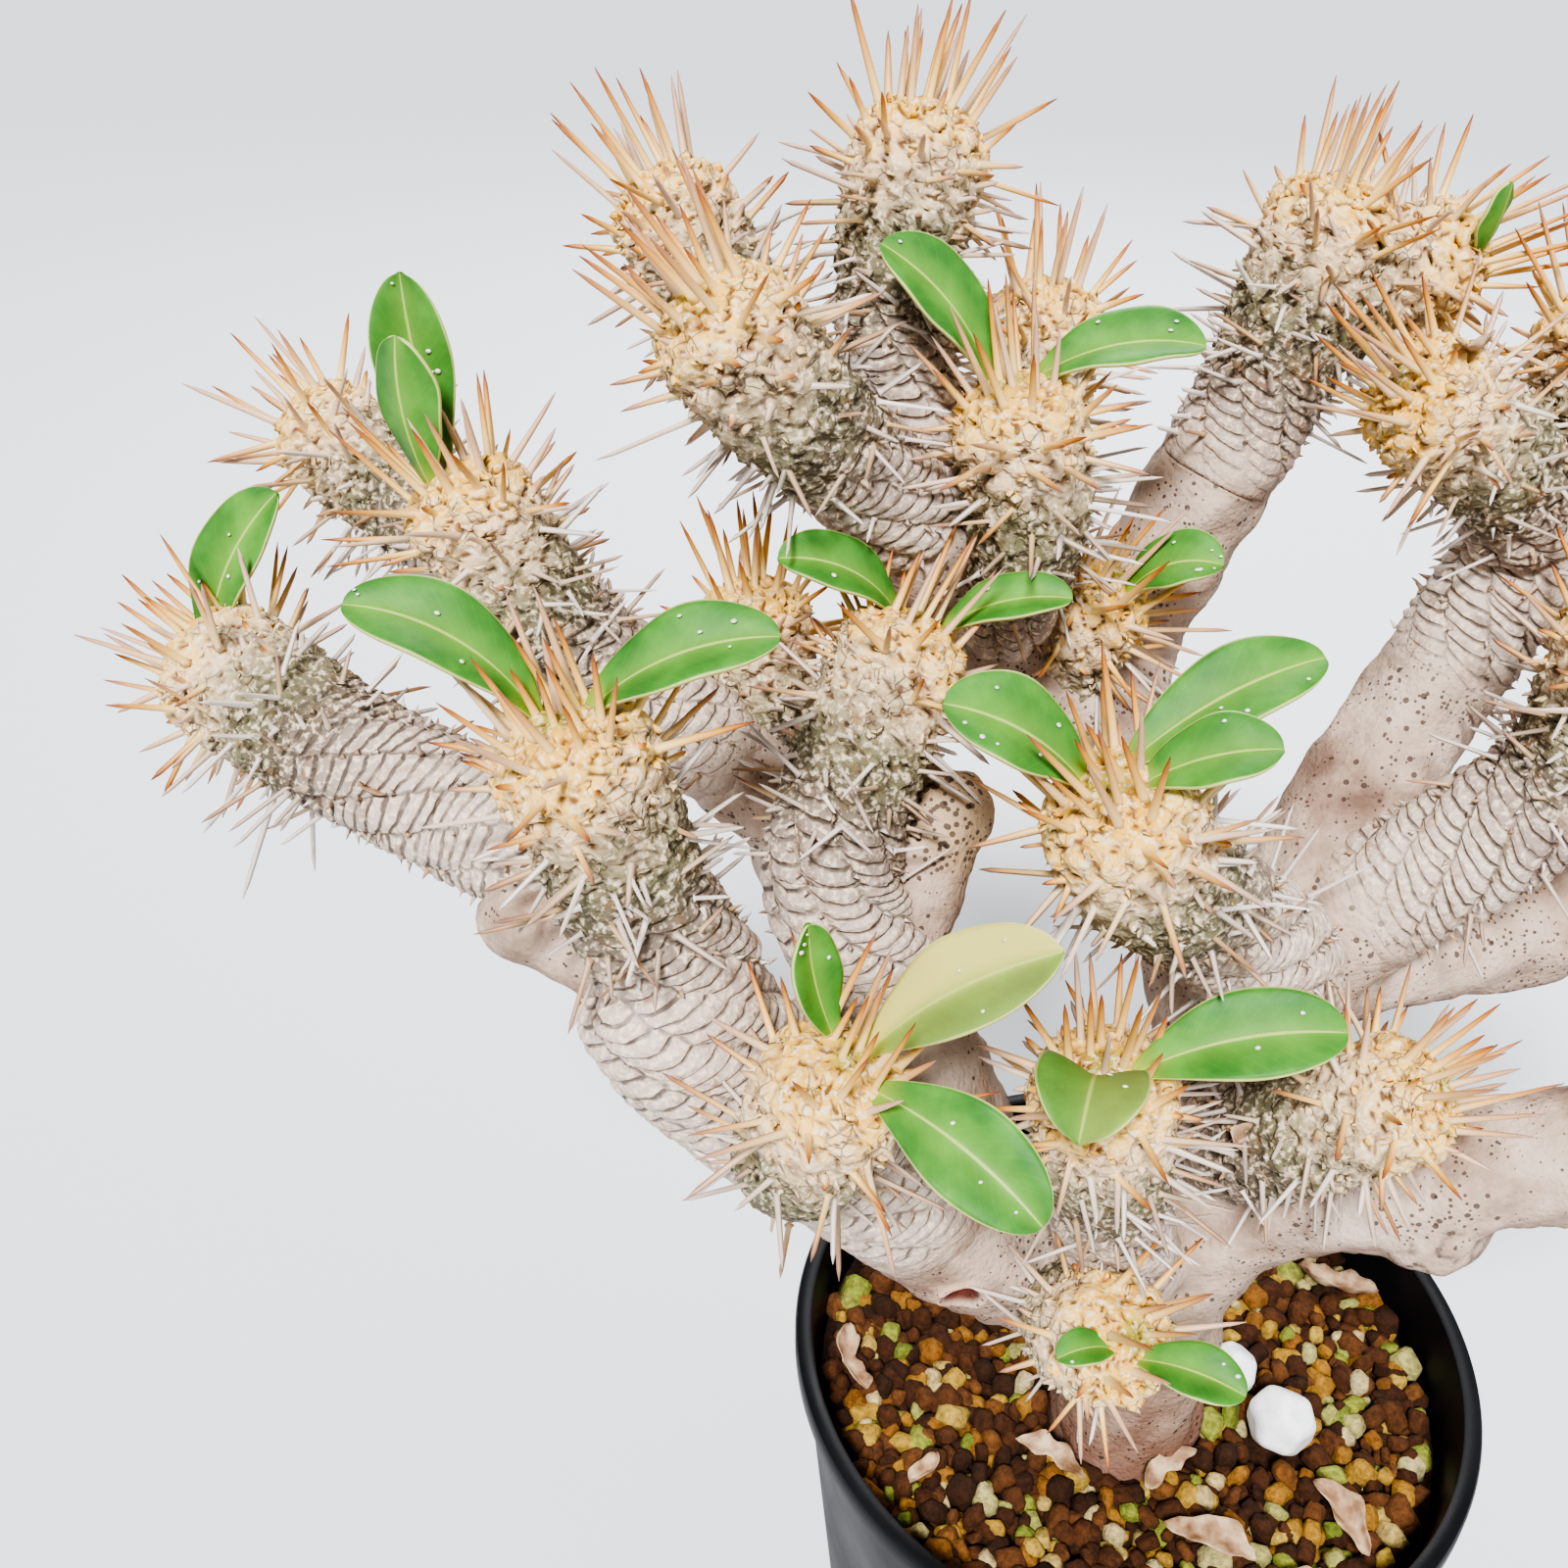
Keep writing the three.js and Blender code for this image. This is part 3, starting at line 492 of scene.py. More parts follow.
@dataclass(frozen=True)
class Route:
    """A stem's centre line as chosen points, each x, y, z and the radius there.

    Attributes:
        points: The points, from the root to the tip.
        start: How far along it the living shoot begins, or nothing for an old limb.
        tip_age: How far below a growing tip the route's own end would lie.
        scarred: The age at which the scars have faded from the bark.
        skin: How the scars look.
        fork: The route of a second head on the same shoot.
        armed: How densely the spines stand, where 1 is usual.
        strays: Long old spines that stand out singly, each as its age, where it points, and its length.
    """

    points: tuple
    start: float | None = None
    tip_age: float = 0.0
    scarred: float = 62.0
    skin: Skin = Skin.LADDER
    fork: tuple | None = None
    armed: float = 1.0
    strays: tuple = ()


BARE = {"tip_age": BARE_AGE, "scarred": 0}  # old bark without scars

LIMBS = {
    "stem": Route(
        ((-1, -8, 50, 5), (-1, -8, 66, 8), (-1, -8, 84, 13), (-1, -8, 97, 13.4), (-1, -8, 112, 12.5),
        (-1, -8, 126, 13), (0, -7, 134, 11)), **BARE
    ),
    "left_limb": Route(
        ((-1, -8, 120, 12), (-20, -11, 142, 12.5), (-38, -15, 158, 12), (-50, -19, 174, 12),
        (-64, -22, 190, 12), (-75, -23, 205, 12.5), (-82, -22, 217, 11)), tip_age=40, scarred=112
    ),
    "left_stub": Route(((-76, -20, 212, 9), (-90, -19, 218, 7), (-102, -19, 221, 6.2)), **BARE),
    "back_left_limb": Route(
        ((-44, -4, 178, 9), (-52, 10, 190, 9), (-58, 20, 203, 9), (-62, 24, 211, 8.5)), **BARE
    ),
    "right_limb": Route(
        ((-1, -8, 120, 12), (3, -3, 145, 13), (8, 3, 164, 13), (13, 7, 177, 12.5), (18, 11, 189, 12.5),
        (21, 14, 197, 11)), **BARE
    ),
    "crown_limb": Route(
        ((-8, 39, 212, 9), (-22, 39, 222, 8.5), (-34, 36, 236, 8.5), (-42, 32, 250, 9), (-44, 31, 257, 8)),
        **BARE
    ),
    "right_stub": Route(((32, -13, 163, 9), (36, -18, 160, 8.2), (38, -24, 155, 8.1)), **BARE),
    "speckled_stub": Route(((-47, 0, 200, 7.4), (-40, 8, 214, 7.5), (-35, 14, 221, 7.6)), **BARE),
}


@dataclass(frozen=True)
class Blemish:
    """A place where the old bark looks unlike the rest.

    Attributes:
        centre: Its middle.
        radius: How far it reaches.
        speckled: How thickly dark spots stand there, from 0 to 1.
        wrinkled: How deep its wrinkles are.
        hollow: How deep it is hollowed out.
    """

    centre: tuple[float, float, float]
    radius: float
    speckled: float = 0.0
    wrinkled: float = 0.0
    hollow: float = 0.0


BLEMISHES = (
    Blemish((-36, 9, 218), 13, speckled=0.8),
    Blemish((38, -23, 157), 11, wrinkled=0.28),
    Blemish((-35.2, -26.4, 152), 4.0, hollow=1.7),
)

BRANCHES = {
    1: Route(
        ((-76, -20, 213, 9), (-93, -11, 223, 9), (-107, -3, 226, 9), (-125, 6, 231, 9.2),
        (-147, 20, 238, 9.8)), start=36, scarred=110,
        strays=((22, (-0.35, -0.5, -0.9), 17), (26, (-0.1, -0.3, -1), 11))
    ),
    2: Route(((-77, 23, 224, 8), (-103, 38, 240, 8), (-122, 49, 250, 8), (-138, 58, 260, 8.3)), start=30),
    3: Route(
        ((-60, 22, 208, 8), (-77, 22, 224, 8.5), (-91, 21, 237, 8.5), (-101, 22, 250, 8.6),
        (-108, 24, 264, 9)), start=44
    ),
    4: Route(
        ((-72, -21, 205, 11), (-80, -21, 222, 10), (-84, -21, 236, 9.2), (-89, -22, 252, 9.8)), start=31,
        scarred=110
    ),
    5: Route(
        ((-60, 22, 207, 8), (-65, 29, 219, 8), (-66, 33, 230, 8), (-67, 36, 241, 8.4)), start=17,
        skin=Skin.WARTY
    ),
    6: Route(
        ((-30, -12, 152, 10), (-40, -5, 177, 10.5), (-48, -2, 195, 10.5), (-55, 0, 212, 10),
        (-51, 7, 229, 9), (-43, 15, 246, 8.8)), start=68, scarred=66
    ),
    7: Route(
        ((-16, 41, 216, 7.6), (-17, 39, 227, 7.6), (-15, 36, 235, 7.8), (-11, 35, 242, 8.2)), start=0,
        strays=((6, (1, -0.1, 0.1), 14),)
    ),
    8: Route(
        ((14, 6, 182, 11), (11, 0, 196, 10), (-4, -12, 215, 9.6), (-16, -19, 229, 9.5),
        (-23, -22, 243, 9.6)), start=31, scarred=90
    ),
    9: Route(
        ((-42, 31, 250, 8.5), (-45, 38, 266, 8.4), (-46, 43, 280, 8.4), (-45, 47, 293, 8.6),
        (-42, 51, 306, 9)), start=24
    ),
    10: Route(
        ((-24, 39, 224, 8), (-26, 44, 242, 8), (-25, 50, 257, 8), (-23, 55, 268, 8), (-22, 58, 280, 8.4)),
        start=22
    ),
    11: Route(((-31, 36, 232, 8), (-28, 28, 247, 8), (-28, 25, 260, 8.2), (-32, 25, 276, 8.8)), start=19),
    12: Route(((-43, 32, 252, 8), (-57, 41, 265, 8), (-71, 49, 280, 8.2), (-81, 55, 296, 8.6)), start=28),
    13: Route(
        ((-40, 32, 250, 8.5), (-53, 25, 265, 8.6), (-63, 19, 277, 8.8), (-73, 17, 291, 9.4)), start=28,
        strays=((13, (-0.9, -0.25, -0.35), 15),)
    ),
    14: Route(
        ((5, -2, 152, 10), (8, 9, 172, 10), (4, 19, 187, 9.5), (-3, 29, 200, 9.5), (-8, 39, 212, 9.5),
        (-7, 48, 223, 9.3), (-1, 53, 236, 9.6), (6, 54, 251, 9.8), (13, 56, 268, 9.4), (20, 60, 294, 9)),
        start=122, scarred=48, fork=((13, 56, 269, 8), (25, 57, 279, 8), (39, 53, 287, 8.2)),
        strays=((24, (-1, -0.3, 0.3), 5.5), (28, (-1, -0.4, 0.1), 4.5), (31, (-1, -0.2, -0.1), 4),
        (35, (-1, -0.35, 0.2), 4.5), (39, (-1, -0.3, 0), 3.5), (42, (-1, -0.2, 0.1), 3.5))
    ),
    16: Route(((50, 38, 245, 9), (46, 35, 255, 8.5), (36, 32, 265, 8.6), (22, 30, 275, 9)), start=15),
    17: Route(
        ((18, 12, 190, 11), (27, 24, 206, 10), (36, 31, 219, 9.5), (46, 37, 235, 9.5), (54, 40, 250, 9.5),
        (57, 43, 266, 9), (56, 46, 282, 9)), start=92, scarred=66
    ),
    18: Route(
        ((-56, -19, 180, 9), (-60, -32, 190, 8.6), (-58, -38, 202, 8.8), (-54, -40, 215, 9.4)), start=0,
        armed=0.75, strays=((8, (0.2, -0.6, -0.75), 15), (9, (-0.75, -0.5, -0.3), 13))
    ),
    19: Route(
        ((-5, -9, 134, 10), (-11, -18, 156, 9), (-17, -27, 182, 8.8), (-21, -32, 206, 9.2)), start=42
    ),
    20: Route(
        ((6, 0, 164, 10), (8, -14, 173, 9), (17, -21, 185, 8.6), (28, -24, 195, 8.8)), start=20,
        skin=Skin.WARTY
    ),
    21: Route(
        ((-10, -12, 136, 10), (-17, -25, 147, 8.4), (-17, -34, 154, 8.4), (-13, -41, 163, 8.8)), start=0,
        armed=0.6
    ),
    22: Route(
        ((16, 10, 187, 11), (29, 11, 200, 10.5), (42, 10, 212, 10), (52, 9, 226, 9.5), (56, 12, 250, 9.2)),
        start=60, scarred=66
    ),
    23: Route(
        ((16, 10, 184, 10), (32, 14, 185, 9), (54, 19, 186, 9), (76, 21, 193, 9), (100, 18, 210, 8.8),
        (116, 15, 234, 9)), start=92
    ),
    24: Route(
        ((-1, -8, 130, 11), (12, -9, 152, 9.4), (29, -13, 162, 9.6), (50, -16, 171, 9.8),
        (74, -18, 180, 9.6), (98, -21, 194, 9), (112, -24, 216, 9.2)), start=112
    ),
    25: Route(((66, 20, 190, 8.4), (78, 34, 203, 8.4), (90, 43, 222, 8.4), (98, 48, 246, 8.8)), start=38),
    26: Route(((44, 10, 216, 8.6), (60, 5, 229, 8.6), (76, -2, 243, 8.6), (88, -5, 262, 9)), start=38),
}


class CentreLine:
    """A smooth curve through a route's points, measured by its length."""

    samples = 24  # how many places are worked out in each stretch between two points

    def __init__(self, points: tuple) -> None:
        """Works out the curve.

        Args:
            points: The route's points, each x, y, z and radius.
        """
        route = np.array(points, float)
        knots = route[:, :3]
        padded = np.vstack([2 * knots[0] - knots[1], knots, 2 * knots[-1] - knots[-2]])
        share = np.linspace(0, 1, self.samples, endpoint=False)[:, None]
        places = [self.stretch(padded[i:i + 4], share) for i in range(len(knots) - 1)]
        widths = [
            route[i, 3] + share[:, 0] * (route[i + 1, 3] - route[i, 3]) for i in range(len(knots) - 1)
        ]
        self.place = np.vstack([*places, knots[-1:]])
        self.width = np.concatenate([*widths, route[-1:, 3]])
        steps = np.linalg.norm(np.diff(self.place, axis=0), axis=1)
        self.gone = np.concatenate([[0.0], np.cumsum(steps)])
        self.length = float(self.gone[-1])
        tangent = np.gradient(self.place, self.gone, axis=0)
        self.tangent = tangent / np.linalg.norm(tangent, axis=1)[:, None]
        self.side = self.carried_sides()

    @staticmethod
    def stretch(knots: np.ndarray, share: np.ndarray) -> np.ndarray:
        """One stretch of a centripetal Catmull-Rom curve.

        Args:
            knots: The four points round the stretch.
            share: How far along the stretch each place lies, from 0 to 1.

        Returns:
            The places.
        """
        before, first, last, after = knots
        gap0, gap1, gap2 = np.sqrt(np.linalg.norm(np.diff(knots, axis=0), axis=1))
        leave = gap1 * ((first - before) / gap0 - (last - before) / (gap0 + gap1) + (last - first) / gap1)
        reach = gap1 * ((last - first) / gap1 - (after - first) / (gap1 + gap2) + (after - last) / gap2)
        bend = 3 * (last - first) - 2 * leave - reach
        turn = 2 * (first - last) + leave + reach
        return first + share * leave + share**2 * bend + share**3 * turn

    def carried_sides(self) -> np.ndarray:
        """Carries a direction square to the curve along it, without twist.

        Returns:
            The direction at each place.
        """
        side = np.array([0.0, 0.0, 1.0]) if abs(self.tangent[0, 2]) < 0.9 else np.array([1.0, 0.0, 0.0])
        sides = []
        for tangent in self.tangent:
            side = side - tangent * side.dot(tangent)
            side = side / np.linalg.norm(side)
            sides.append(side)
        return np.array(sides)

    def at(self, gone: np.ndarray) -> tuple[np.ndarray, np.ndarray, np.ndarray, np.ndarray]:
        """The curve at some lengths along it.

        Args:
            gone: The lengths.

        Returns:
            The centres, tangents, sides and radii there.
        """
        spots = []
        for values in (self.place, self.tangent, self.side):
            spots.append(np.stack([np.interp(gone, self.gone, values[:, k]) for k in range(3)], axis=-1))
        centre, tangent, side = spots
        tangent = tangent / np.linalg.norm(tangent, axis=-1, keepdims=True)
        side = side - tangent * (side * tangent).sum(-1, keepdims=True)
        side = side / np.linalg.norm(side, axis=-1, keepdims=True)
        return centre, tangent, side, np.interp(gone, self.gone, self.width)


def ripple(points: np.ndarray, wavelength: float, seed: int) -> np.ndarray:
    """A smooth irregular field, made of a few waves in random directions.

    Args:
        points: Where it is wanted, in an array whose last axis is x, y and z.
        wavelength: About how far apart its humps are.
        seed: What picks the waves.

    Returns:
        A height for each point, mostly between -1 and 1.
    """
    draw = np.random.default_rng(seed)
    total = np.zeros(points.shape[:-1])
    for _ in range(7):
        direction = draw.normal(size=3)
        direction *= math.tau / (wavelength * np.linalg.norm(direction)) * draw.uniform(0.7, 1.4)
        total += np.sin(points @ direction + draw.uniform(0, math.tau))
    return total / 3.0


def ease(values: np.ndarray, low: float, high: float) -> np.ndarray:
    """A smooth step from 0 at low to 1 at high."""
    share = np.clip((values - low) / (high - low), 0, 1)
    return share * share * (3 - 2 * share)


class Form(Enum):
    """The shapes of what stands out of the skin."""

    YOUNG = "a sharp tapered spine"
    OLD = "a thin blunt spine"
    WORN = "a short stump of a spine"
    FLAKE = "a flat scale of cork"


@dataclass
class Spine:
    """One spine or flake: where its root stands, where it points, and its size.

    Attributes:
        root: The middle of its base.
        direction: Where it points.
        length: From base to tip.
        radius: Half its thickness above the flared base.
        age: How far below the tip of the stem it stands.
        gone: How far along the stem it stands.
        tone: A number from 0 to 1 that varies its colour.
        bend: How far its tip curves aside.
        form: Its shape.
        spin: How far it is turned round its own length.
    """

    root: np.ndarray
    direction: np.ndarray
    length: float
    radius: float
    age: float
    gone: float
    tone: float
    bend: float = 0.0
    form: Form = Form.YOUNG
    spin: float = 0.0


@dataclass
class Stem:
    """A stem's skin from the root of its route to its tip.

    Attributes:
        route: Where it runs and how it looks.
        seed: What makes its warts and spines its own.
        sides: How many faces go round it.
        spacing: The distance between its rings of faces.
        old_spacing: The same where the skin is old.
        fine_age: How far below a growing tip the skin counts as old.
        dome: How far below the tip its round end starts.
    """

    route: Route
    seed: int
    sides: int = 80
    spacing: float = 0.4
    old_spacing: float = 0.6
    fine_age: float = 27.0
    dome: float = 6.5
    wart_area: float = 8.5  # the skin that one wart of the crown takes, in square millimetres
    wart_spread: float = 0.55  # how much more skin each takes lower down
    wart_height: float = 0.75  # how far the warts stand out
    wart_slant: float = 0.2  # how steeply the tops of the warts slant, each its own way
    step_pitch: float = 2.2  # how far apart the steps of the ladder are
    step_height: float = 0.95  # how far the steps stand out
    columns: int = 8  # how many columns of scars go round the stem
    crown_spine: float = 14.5  # the usual length of the upright spines at the tip
    neck_spine: float = 12.5  # the usual length of the spines below them
    spine_radius: float = 0.54
    twist: float = 0.011  # how much the columns of scars turn round the stem, in turns a millimetre
    overlap: float = 9.0  # how far a smooth and a scarred stretch of skin run together
    flaky_age: float = 19.0  # how far below the tip loose flakes of cork stand

    def __post_init__(self) -> None:
        """Works out the centre line and the smooth skin round it."""
        self.line = CentreLine(self.route.points)
        length = self.line.length
        old_end = min(length - self.dome, max(0.0, length + self.route.tip_age - self.fine_age))
        old = np.arange(0, old_end, self.old_spacing)
        young = np.arange(old[-1] + self.old_spacing if len(old) else 0.0, length - self.dome, self.spacing)
        straight = np.concatenate([old, young])
        turn = np.radians(np.linspace(0, 90, 26))
        self.gone = np.concatenate([straight, length - self.dome + self.dome * np.sin(turn)])
        narrow = np.concatenate([np.ones(len(straight)), np.cos(turn)])
        self.lean = np.concatenate([np.zeros(len(straight)), turn])
        self.centre, self.tangent, self.side, radius = self.line.at(self.gone)
        self.radius = radius * narrow
        self.across = np.cross(self.side, self.tangent)
        self.age = length - self.gone + self.route.tip_age
        slope = np.hypot(np.diff(self.radius), np.diff(self.gone))
        self.from_tip = np.concatenate([np.cumsum(slope[::-1])[::-1], [0.0]])

    def spot(self, rows: np.ndarray, angles: np.ndarray) -> tuple[np.ndarray, np.ndarray]:
        """Points on the smooth skin.

        Args:
            rows: Which ring each lies on, whole or between two.
            angles: Where on the ring it lies.

        Returns:
            The points and the directions square to the skin there.
        """
        index = np.arange(len(self.gone))

        def along(values: np.ndarray) -> np.ndarray:
            """Reads a value of the rings at the wanted rows.

            Args:
                values: The value of each ring.

            Returns:
                The value at each row.
            """
            if values.ndim == 1:
                return np.interp(rows, index, values)
            return np.stack([np.interp(rows, index, values[:, k]) for k in range(3)], axis=-1)

        out = along(self.side) * np.cos(angles)[..., None] + along(self.across) * np.sin(angles)[..., None]
        lean = along(self.lean)[..., None]
        normal = out * np.cos(lean) + along(self.tangent) * np.sin(lean)
        return along(self.centre) + out * along(self.radius)[..., None], normal

    def stand(self, gone: float, angle: float) -> tuple[np.ndarray, np.ndarray]:
        """A single point on the smooth skin.

        Args:
            gone: How far along the stem it lies.
            angle: Where round the stem it lies.

        Returns:
            The point and the direction square to the skin there.
        """
        row = np.interp(gone, self.gone, np.arange(len(self.gone)))
        point, normal = self.spot(np.array([row]), np.array([angle]))
        return point[0], normal[0]

    @cached_property
    def warts(self) -> tuple[np.ndarray, np.ndarray]:
        """The warts of the head, evenly spread in a golden spiral.

        Returns:
            Their rows and their angles.
        """
        ring_area = math.tau * self.radius
        down = self.from_tip[::-1]
        widths = ring_area[::-1]
        share = 1 + self.wart_spread * ease(down[1:], 3, 11)
        area = np.concatenate([[0.0], np.cumsum(np.diff(down) * (widths[1:] + widths[:-1]) / 2 / share)])
        row_down = np.arange(len(self.gone))[::-1].astype(float)
        last_area = np.interp(SPINY_AGE + 4, down, area)
        count = int(last_area / self.wart_area)
        wanted = (np.arange(count) + 0.5) * self.wart_area
        draw = np.random.default_rng(self.seed)
        rows = np.interp(wanted, area, row_down)
        angles = GOLDEN_ANGLE * np.arange(count) + draw.uniform(-0.09, 0.09, count) + self.seed
        return rows, angles

    def relief(self, points: np.ndarray, ages: np.ndarray, angles: np.ndarray) -> tuple:
        """How far the skin stands out at each point, and how deep in a groove it lies.

        Args:
            points: Points on the smooth skin.
            ages: How far below the tip each lies.
            angles: Where round the stem it lies.

        Returns:
            The heights; how deep in a groove, how bare and how laddered the skin is, each from 0 to 1; and
            the place across the columns of scars with the place up their steps.
        """
        scarred = self.route.scarred
        bare = ease(ages, scarred - 14, scarred) if scarred else np.ones_like(ages)
        shake = np.stack([ripple(points, 2.6, self.seed + 31 * k) for k in range(3)], axis=-1)
        height = np.zeros_like(ages)
        groove = np.zeros_like(ages)
        place = self.columns * (angles / math.tau + self.twist * ages) + 0.05 * shake[..., 0]
        climb = ages / self.step_pitch + 0.06 * shake[..., 1] + 0.22 * ripple(points, 15.0, self.seed + 2)
        ladder = np.zeros_like(ages)
        if self.route.tip_age == 0:
            spots, _ = self.spot(*self.warts)
            draw = np.random.default_rng(self.seed + 3)
            swell = draw.uniform(0.7, 1.25, len(spots))
            slants = self.wart_slant * draw.normal(size=(len(spots), 3))
            near = np.full(ages.shape, 9.0)
            second = np.full(ages.shape, 9.0)
            tall = np.ones(ages.shape)
            tilt = np.zeros(ages.shape)
            shaken = points + 0.3 * shake
            for spot, size, slant in zip(spots, swell, slants):
                gap = np.linalg.norm(shaken - spot, axis=-1)
                second = np.minimum(second, np.maximum(near, gap))
                tall = np.where(gap < near, size, tall)
                tilt = np.where(gap < near, (shaken - spot) @ slant, tilt)
                near = np.minimum(near, gap)
            parting = second - near
            head = 1 - ease(ages, HEAD_AGE - 2, HEAD_AGE + 7)
            cushion = self.wart_height * tall * (1 - np.exp(-parting / 0.3)) - 0.08 * near
            worn_down = 1 - 0.35 * ease(ages, 6, 14)
            height += head * (worn_down * cushion + tilt + 0.45 * np.exp(-(near / 0.6) ** 2))
            # the groove marks the low partings between warts, and below it the crust's creases and rough
            # hollows; the finish darkens it, partly as painted shade
            groove += head * np.exp(-parting / 0.22) * worn_down
            crust = ease(ages, 6, 13) * (1 - ease(ages, HEAD_AGE + 2, HEAD_AGE + 16))
            crease = np.abs(ripple(points, 2.6, self.seed + 5))
            height += crust * 0.45 * (np.minimum(crease, 0.8) - 0.4)
            groove += crust * 0.55 * np.exp(-crease / 0.12)
        scars = (1 - bare) * ease(ages, HEAD_AGE - 1, HEAD_AGE + 8)
        if self.route.skin is Skin.LADDER:
            ladder = scars
            column = np.floor(place)
            inside = place - column
            arc = RUNG_ARC * (2 * inside - 1) ** 2
            rung = (climb + 0.5 * (column % 2) + RUNG_SLANT * inside + arc) % 1.0
            border = np.minimum(inside, 1 - inside)
            bar = np.sin(math.pi * rung) ** 0.5 * (0.6 + 0.6 * rung) * (1 - np.exp(-border / 0.09))
            bulge = 0.5 * np.sin(math.pi * inside) ** 0.7
            height += scars * self.step_height * (bar + bulge - 0.85)
        else:
            rough = ripple(points, 2.4, self.seed + 15)
            height += scars * 0.55 * rough
            groove += scars * ease(-rough, 0.3, 1.0)
        height += (1 - bare) * 0.1 * ripple(points, 1.5, self.seed + 7)
        swells = 0.5 * ripple(points, 13.0, self.seed + 9)
        height += bare * (swells + 0.14 * ripple(points, 3.4, self.seed + 11))
        return height, {"groove": np.clip(groove, 0, 1), "bare": bare, "ladder": ladder}, (place, climb)

    def tube(
        self, start: float, end: float, rise: float = 0.0, dive: float = 0.0, sides: int | None = None
    ) -> Mesh:
        """The skin between two lengths, as a closed mesh with its attributes.

        Args:
            start: The length at which it starts.
            end: The length at which it ends. At the stem's own tip it closes in a dome.
            rise: How far its first ring is drawn in, so that it comes up out of a limb.
            dive: How far its last ring is drawn in, so that it ends inside another skin.
            sides: How many faces go round it, where that isn't the stem's own number.

        Returns:
            The mesh.
        """
        first = int(np.searchsorted(self.gone, start - 1e-6))
        whole = end >= self.line.length
        last = len(self.gone) if whole else int(np.searchsorted(self.gone, end - 1e-6)) + 1
        rows = np.arange(first, last).astype(float)
        angles = np.linspace(0, math.tau, sides or self.sides, endpoint=False)
        grid_rows, grid_angles = np.meshgrid(rows, angles, indexing="ij")
        points, normals = self.spot(grid_rows, grid_angles)
        ages = np.repeat(self.age[first:last, None], len(angles), axis=1)
        height, values, scars = self.relief(points, ages, grid_angles)
        lengths = self.gone[first:last, None]
        height = height - rise * (1 - ease(lengths, start, start + self.overlap))
        height = height - dive * ease(lengths, end - self.overlap, end)
        points = points + normals * height[..., None]
        tip = None if whole else points[-1].mean(axis=0)
        return wrapped_grid(points, {"age": ages, **values}, scars, self.columns, (self.centre[first], tip))

    def spines(self) -> list[Spine]:
        """Everything that stands out of the skin.

        Returns:
            The spines of the head, its strays and flakes, and the short teeth left on the scars.
        """
        draw = np.random.default_rng(self.seed + 400)
        rows, angles = self.warts
        points, normals = self.spot(rows, angles)
        index = np.arange(len(self.gone))
        grown = []
        for k in range(len(rows)):
            gone = float(np.interp(rows[k], index, self.gone))
            age = self.line.length - gone
            if gone < 1.5:
                continue
            _, tangent, _, _ = self.line.at(np.array([gone]))
            out = normals[k] - tangent[0] * normals[k].dot(tangent[0])
            out = out / max(np.linalg.norm(out), 1e-6)
            aside = np.cross(tangent[0], out)
            old = min(1.0, age / 24)
            for _ in range(1 if age < 6 else 2):
                keep = 1.0 if age < CROWN_AGE else 0.54 if age < 12 else 0.44
                if draw.random() > keep * self.route.armed:
                    continue
                if age < CROWN_AGE:
                    lean = math.radians(3 + 26 * age / CROWN_AGE + draw.uniform(-9, 9))
                    length = self.crown_spine * draw.uniform(0.55, 1.08)
                    swing = draw.uniform(-0.15, 0.15)
                else:
                    spread = 14 + 20 * old
                    lean = math.radians(
                        42 + 50 * (1 - math.exp(-(age - CROWN_AGE) / 5.0)) + draw.uniform(-spread, spread)
                    )
                    length = (self.neck_spine - 3 * old) * draw.uniform(0.5, 1.15)
                    swing = draw.uniform(-0.3 - 0.6 * old, 0.3 + 0.6 * old)
                    if draw.random() < 0.28:
                        length *= 0.35
                direction = tangent[0] * math.cos(lean) + out * math.sin(lean) + aside * swing
                grown.append(
                    Spine(
                        points[k] + normals[k] * 0.2 + 0.5 * old * draw.normal(size=3),
                        direction / np.linalg.norm(direction), length,
                        (self.spine_radius - 0.16 * old) * draw.uniform(0.85, 1.15), age, gone, draw.random(),
                        draw.uniform(-1.3, 1.3) * old, Form.OLD if age > 9 else Form.YOUNG,
                    )
                )
        for age, heading, length in self.route.strays:
            gone = self.line.length - age
            _, tangent, side, _ = self.line.at(np.array([gone]))
            aim = np.array(heading, float)
            angle = math.atan2(aim.dot(np.cross(side[0], tangent[0])), aim.dot(side[0]))
            point, normal = self.stand(gone, angle)
            grown.append(
                Spine(
                    point + normal * 0.2, aim / np.linalg.norm(aim), length, 0.48, age, gone, 0.7, 0.8,
                    Form.OLD,
                )
            )
        return grown + self.flakes(draw) + self.teeth(draw)

    def flakes(self, draw: np.random.Generator) -> list[Spine]:
        """Flat ragged scales of cork that stand among the warts of the head.

        Args:
            draw: What picks the places and sizes.

        Returns:
            The scales.
        """
        rows, angles = self.warts
        index = np.arange(len(self.gone))
        made = []
        for row, angle in zip(rows, angles):
            age = self.line.length - float(np.interp(row, index, self.gone))
            for _ in range(2):
                gone = self.line.length - age + draw.uniform(-1.5, 1.5)
                turned = angle + draw.uniform(-1.5, 1.5) / max(3.0, float(np.interp(row, index, self.radius)))
                if not 1.2 < self.line.length - gone < self.flaky_age or gone < 2:
                    continue
                point, normal = self.stand(gone, turned)
                direction = normal + 0.55 * draw.normal(size=3)
                made.append(
                    Spine(
                        point + 0.1 * normal, direction / np.linalg.norm(direction),
                        draw.uniform(0.9, 1.9), draw.uniform(0.5, 1.0), max(0.6, age - 3), gone,
                        draw.random(), 0.0, Form.FLAKE, draw.uniform(0, math.pi),
                    )
                )
        return made

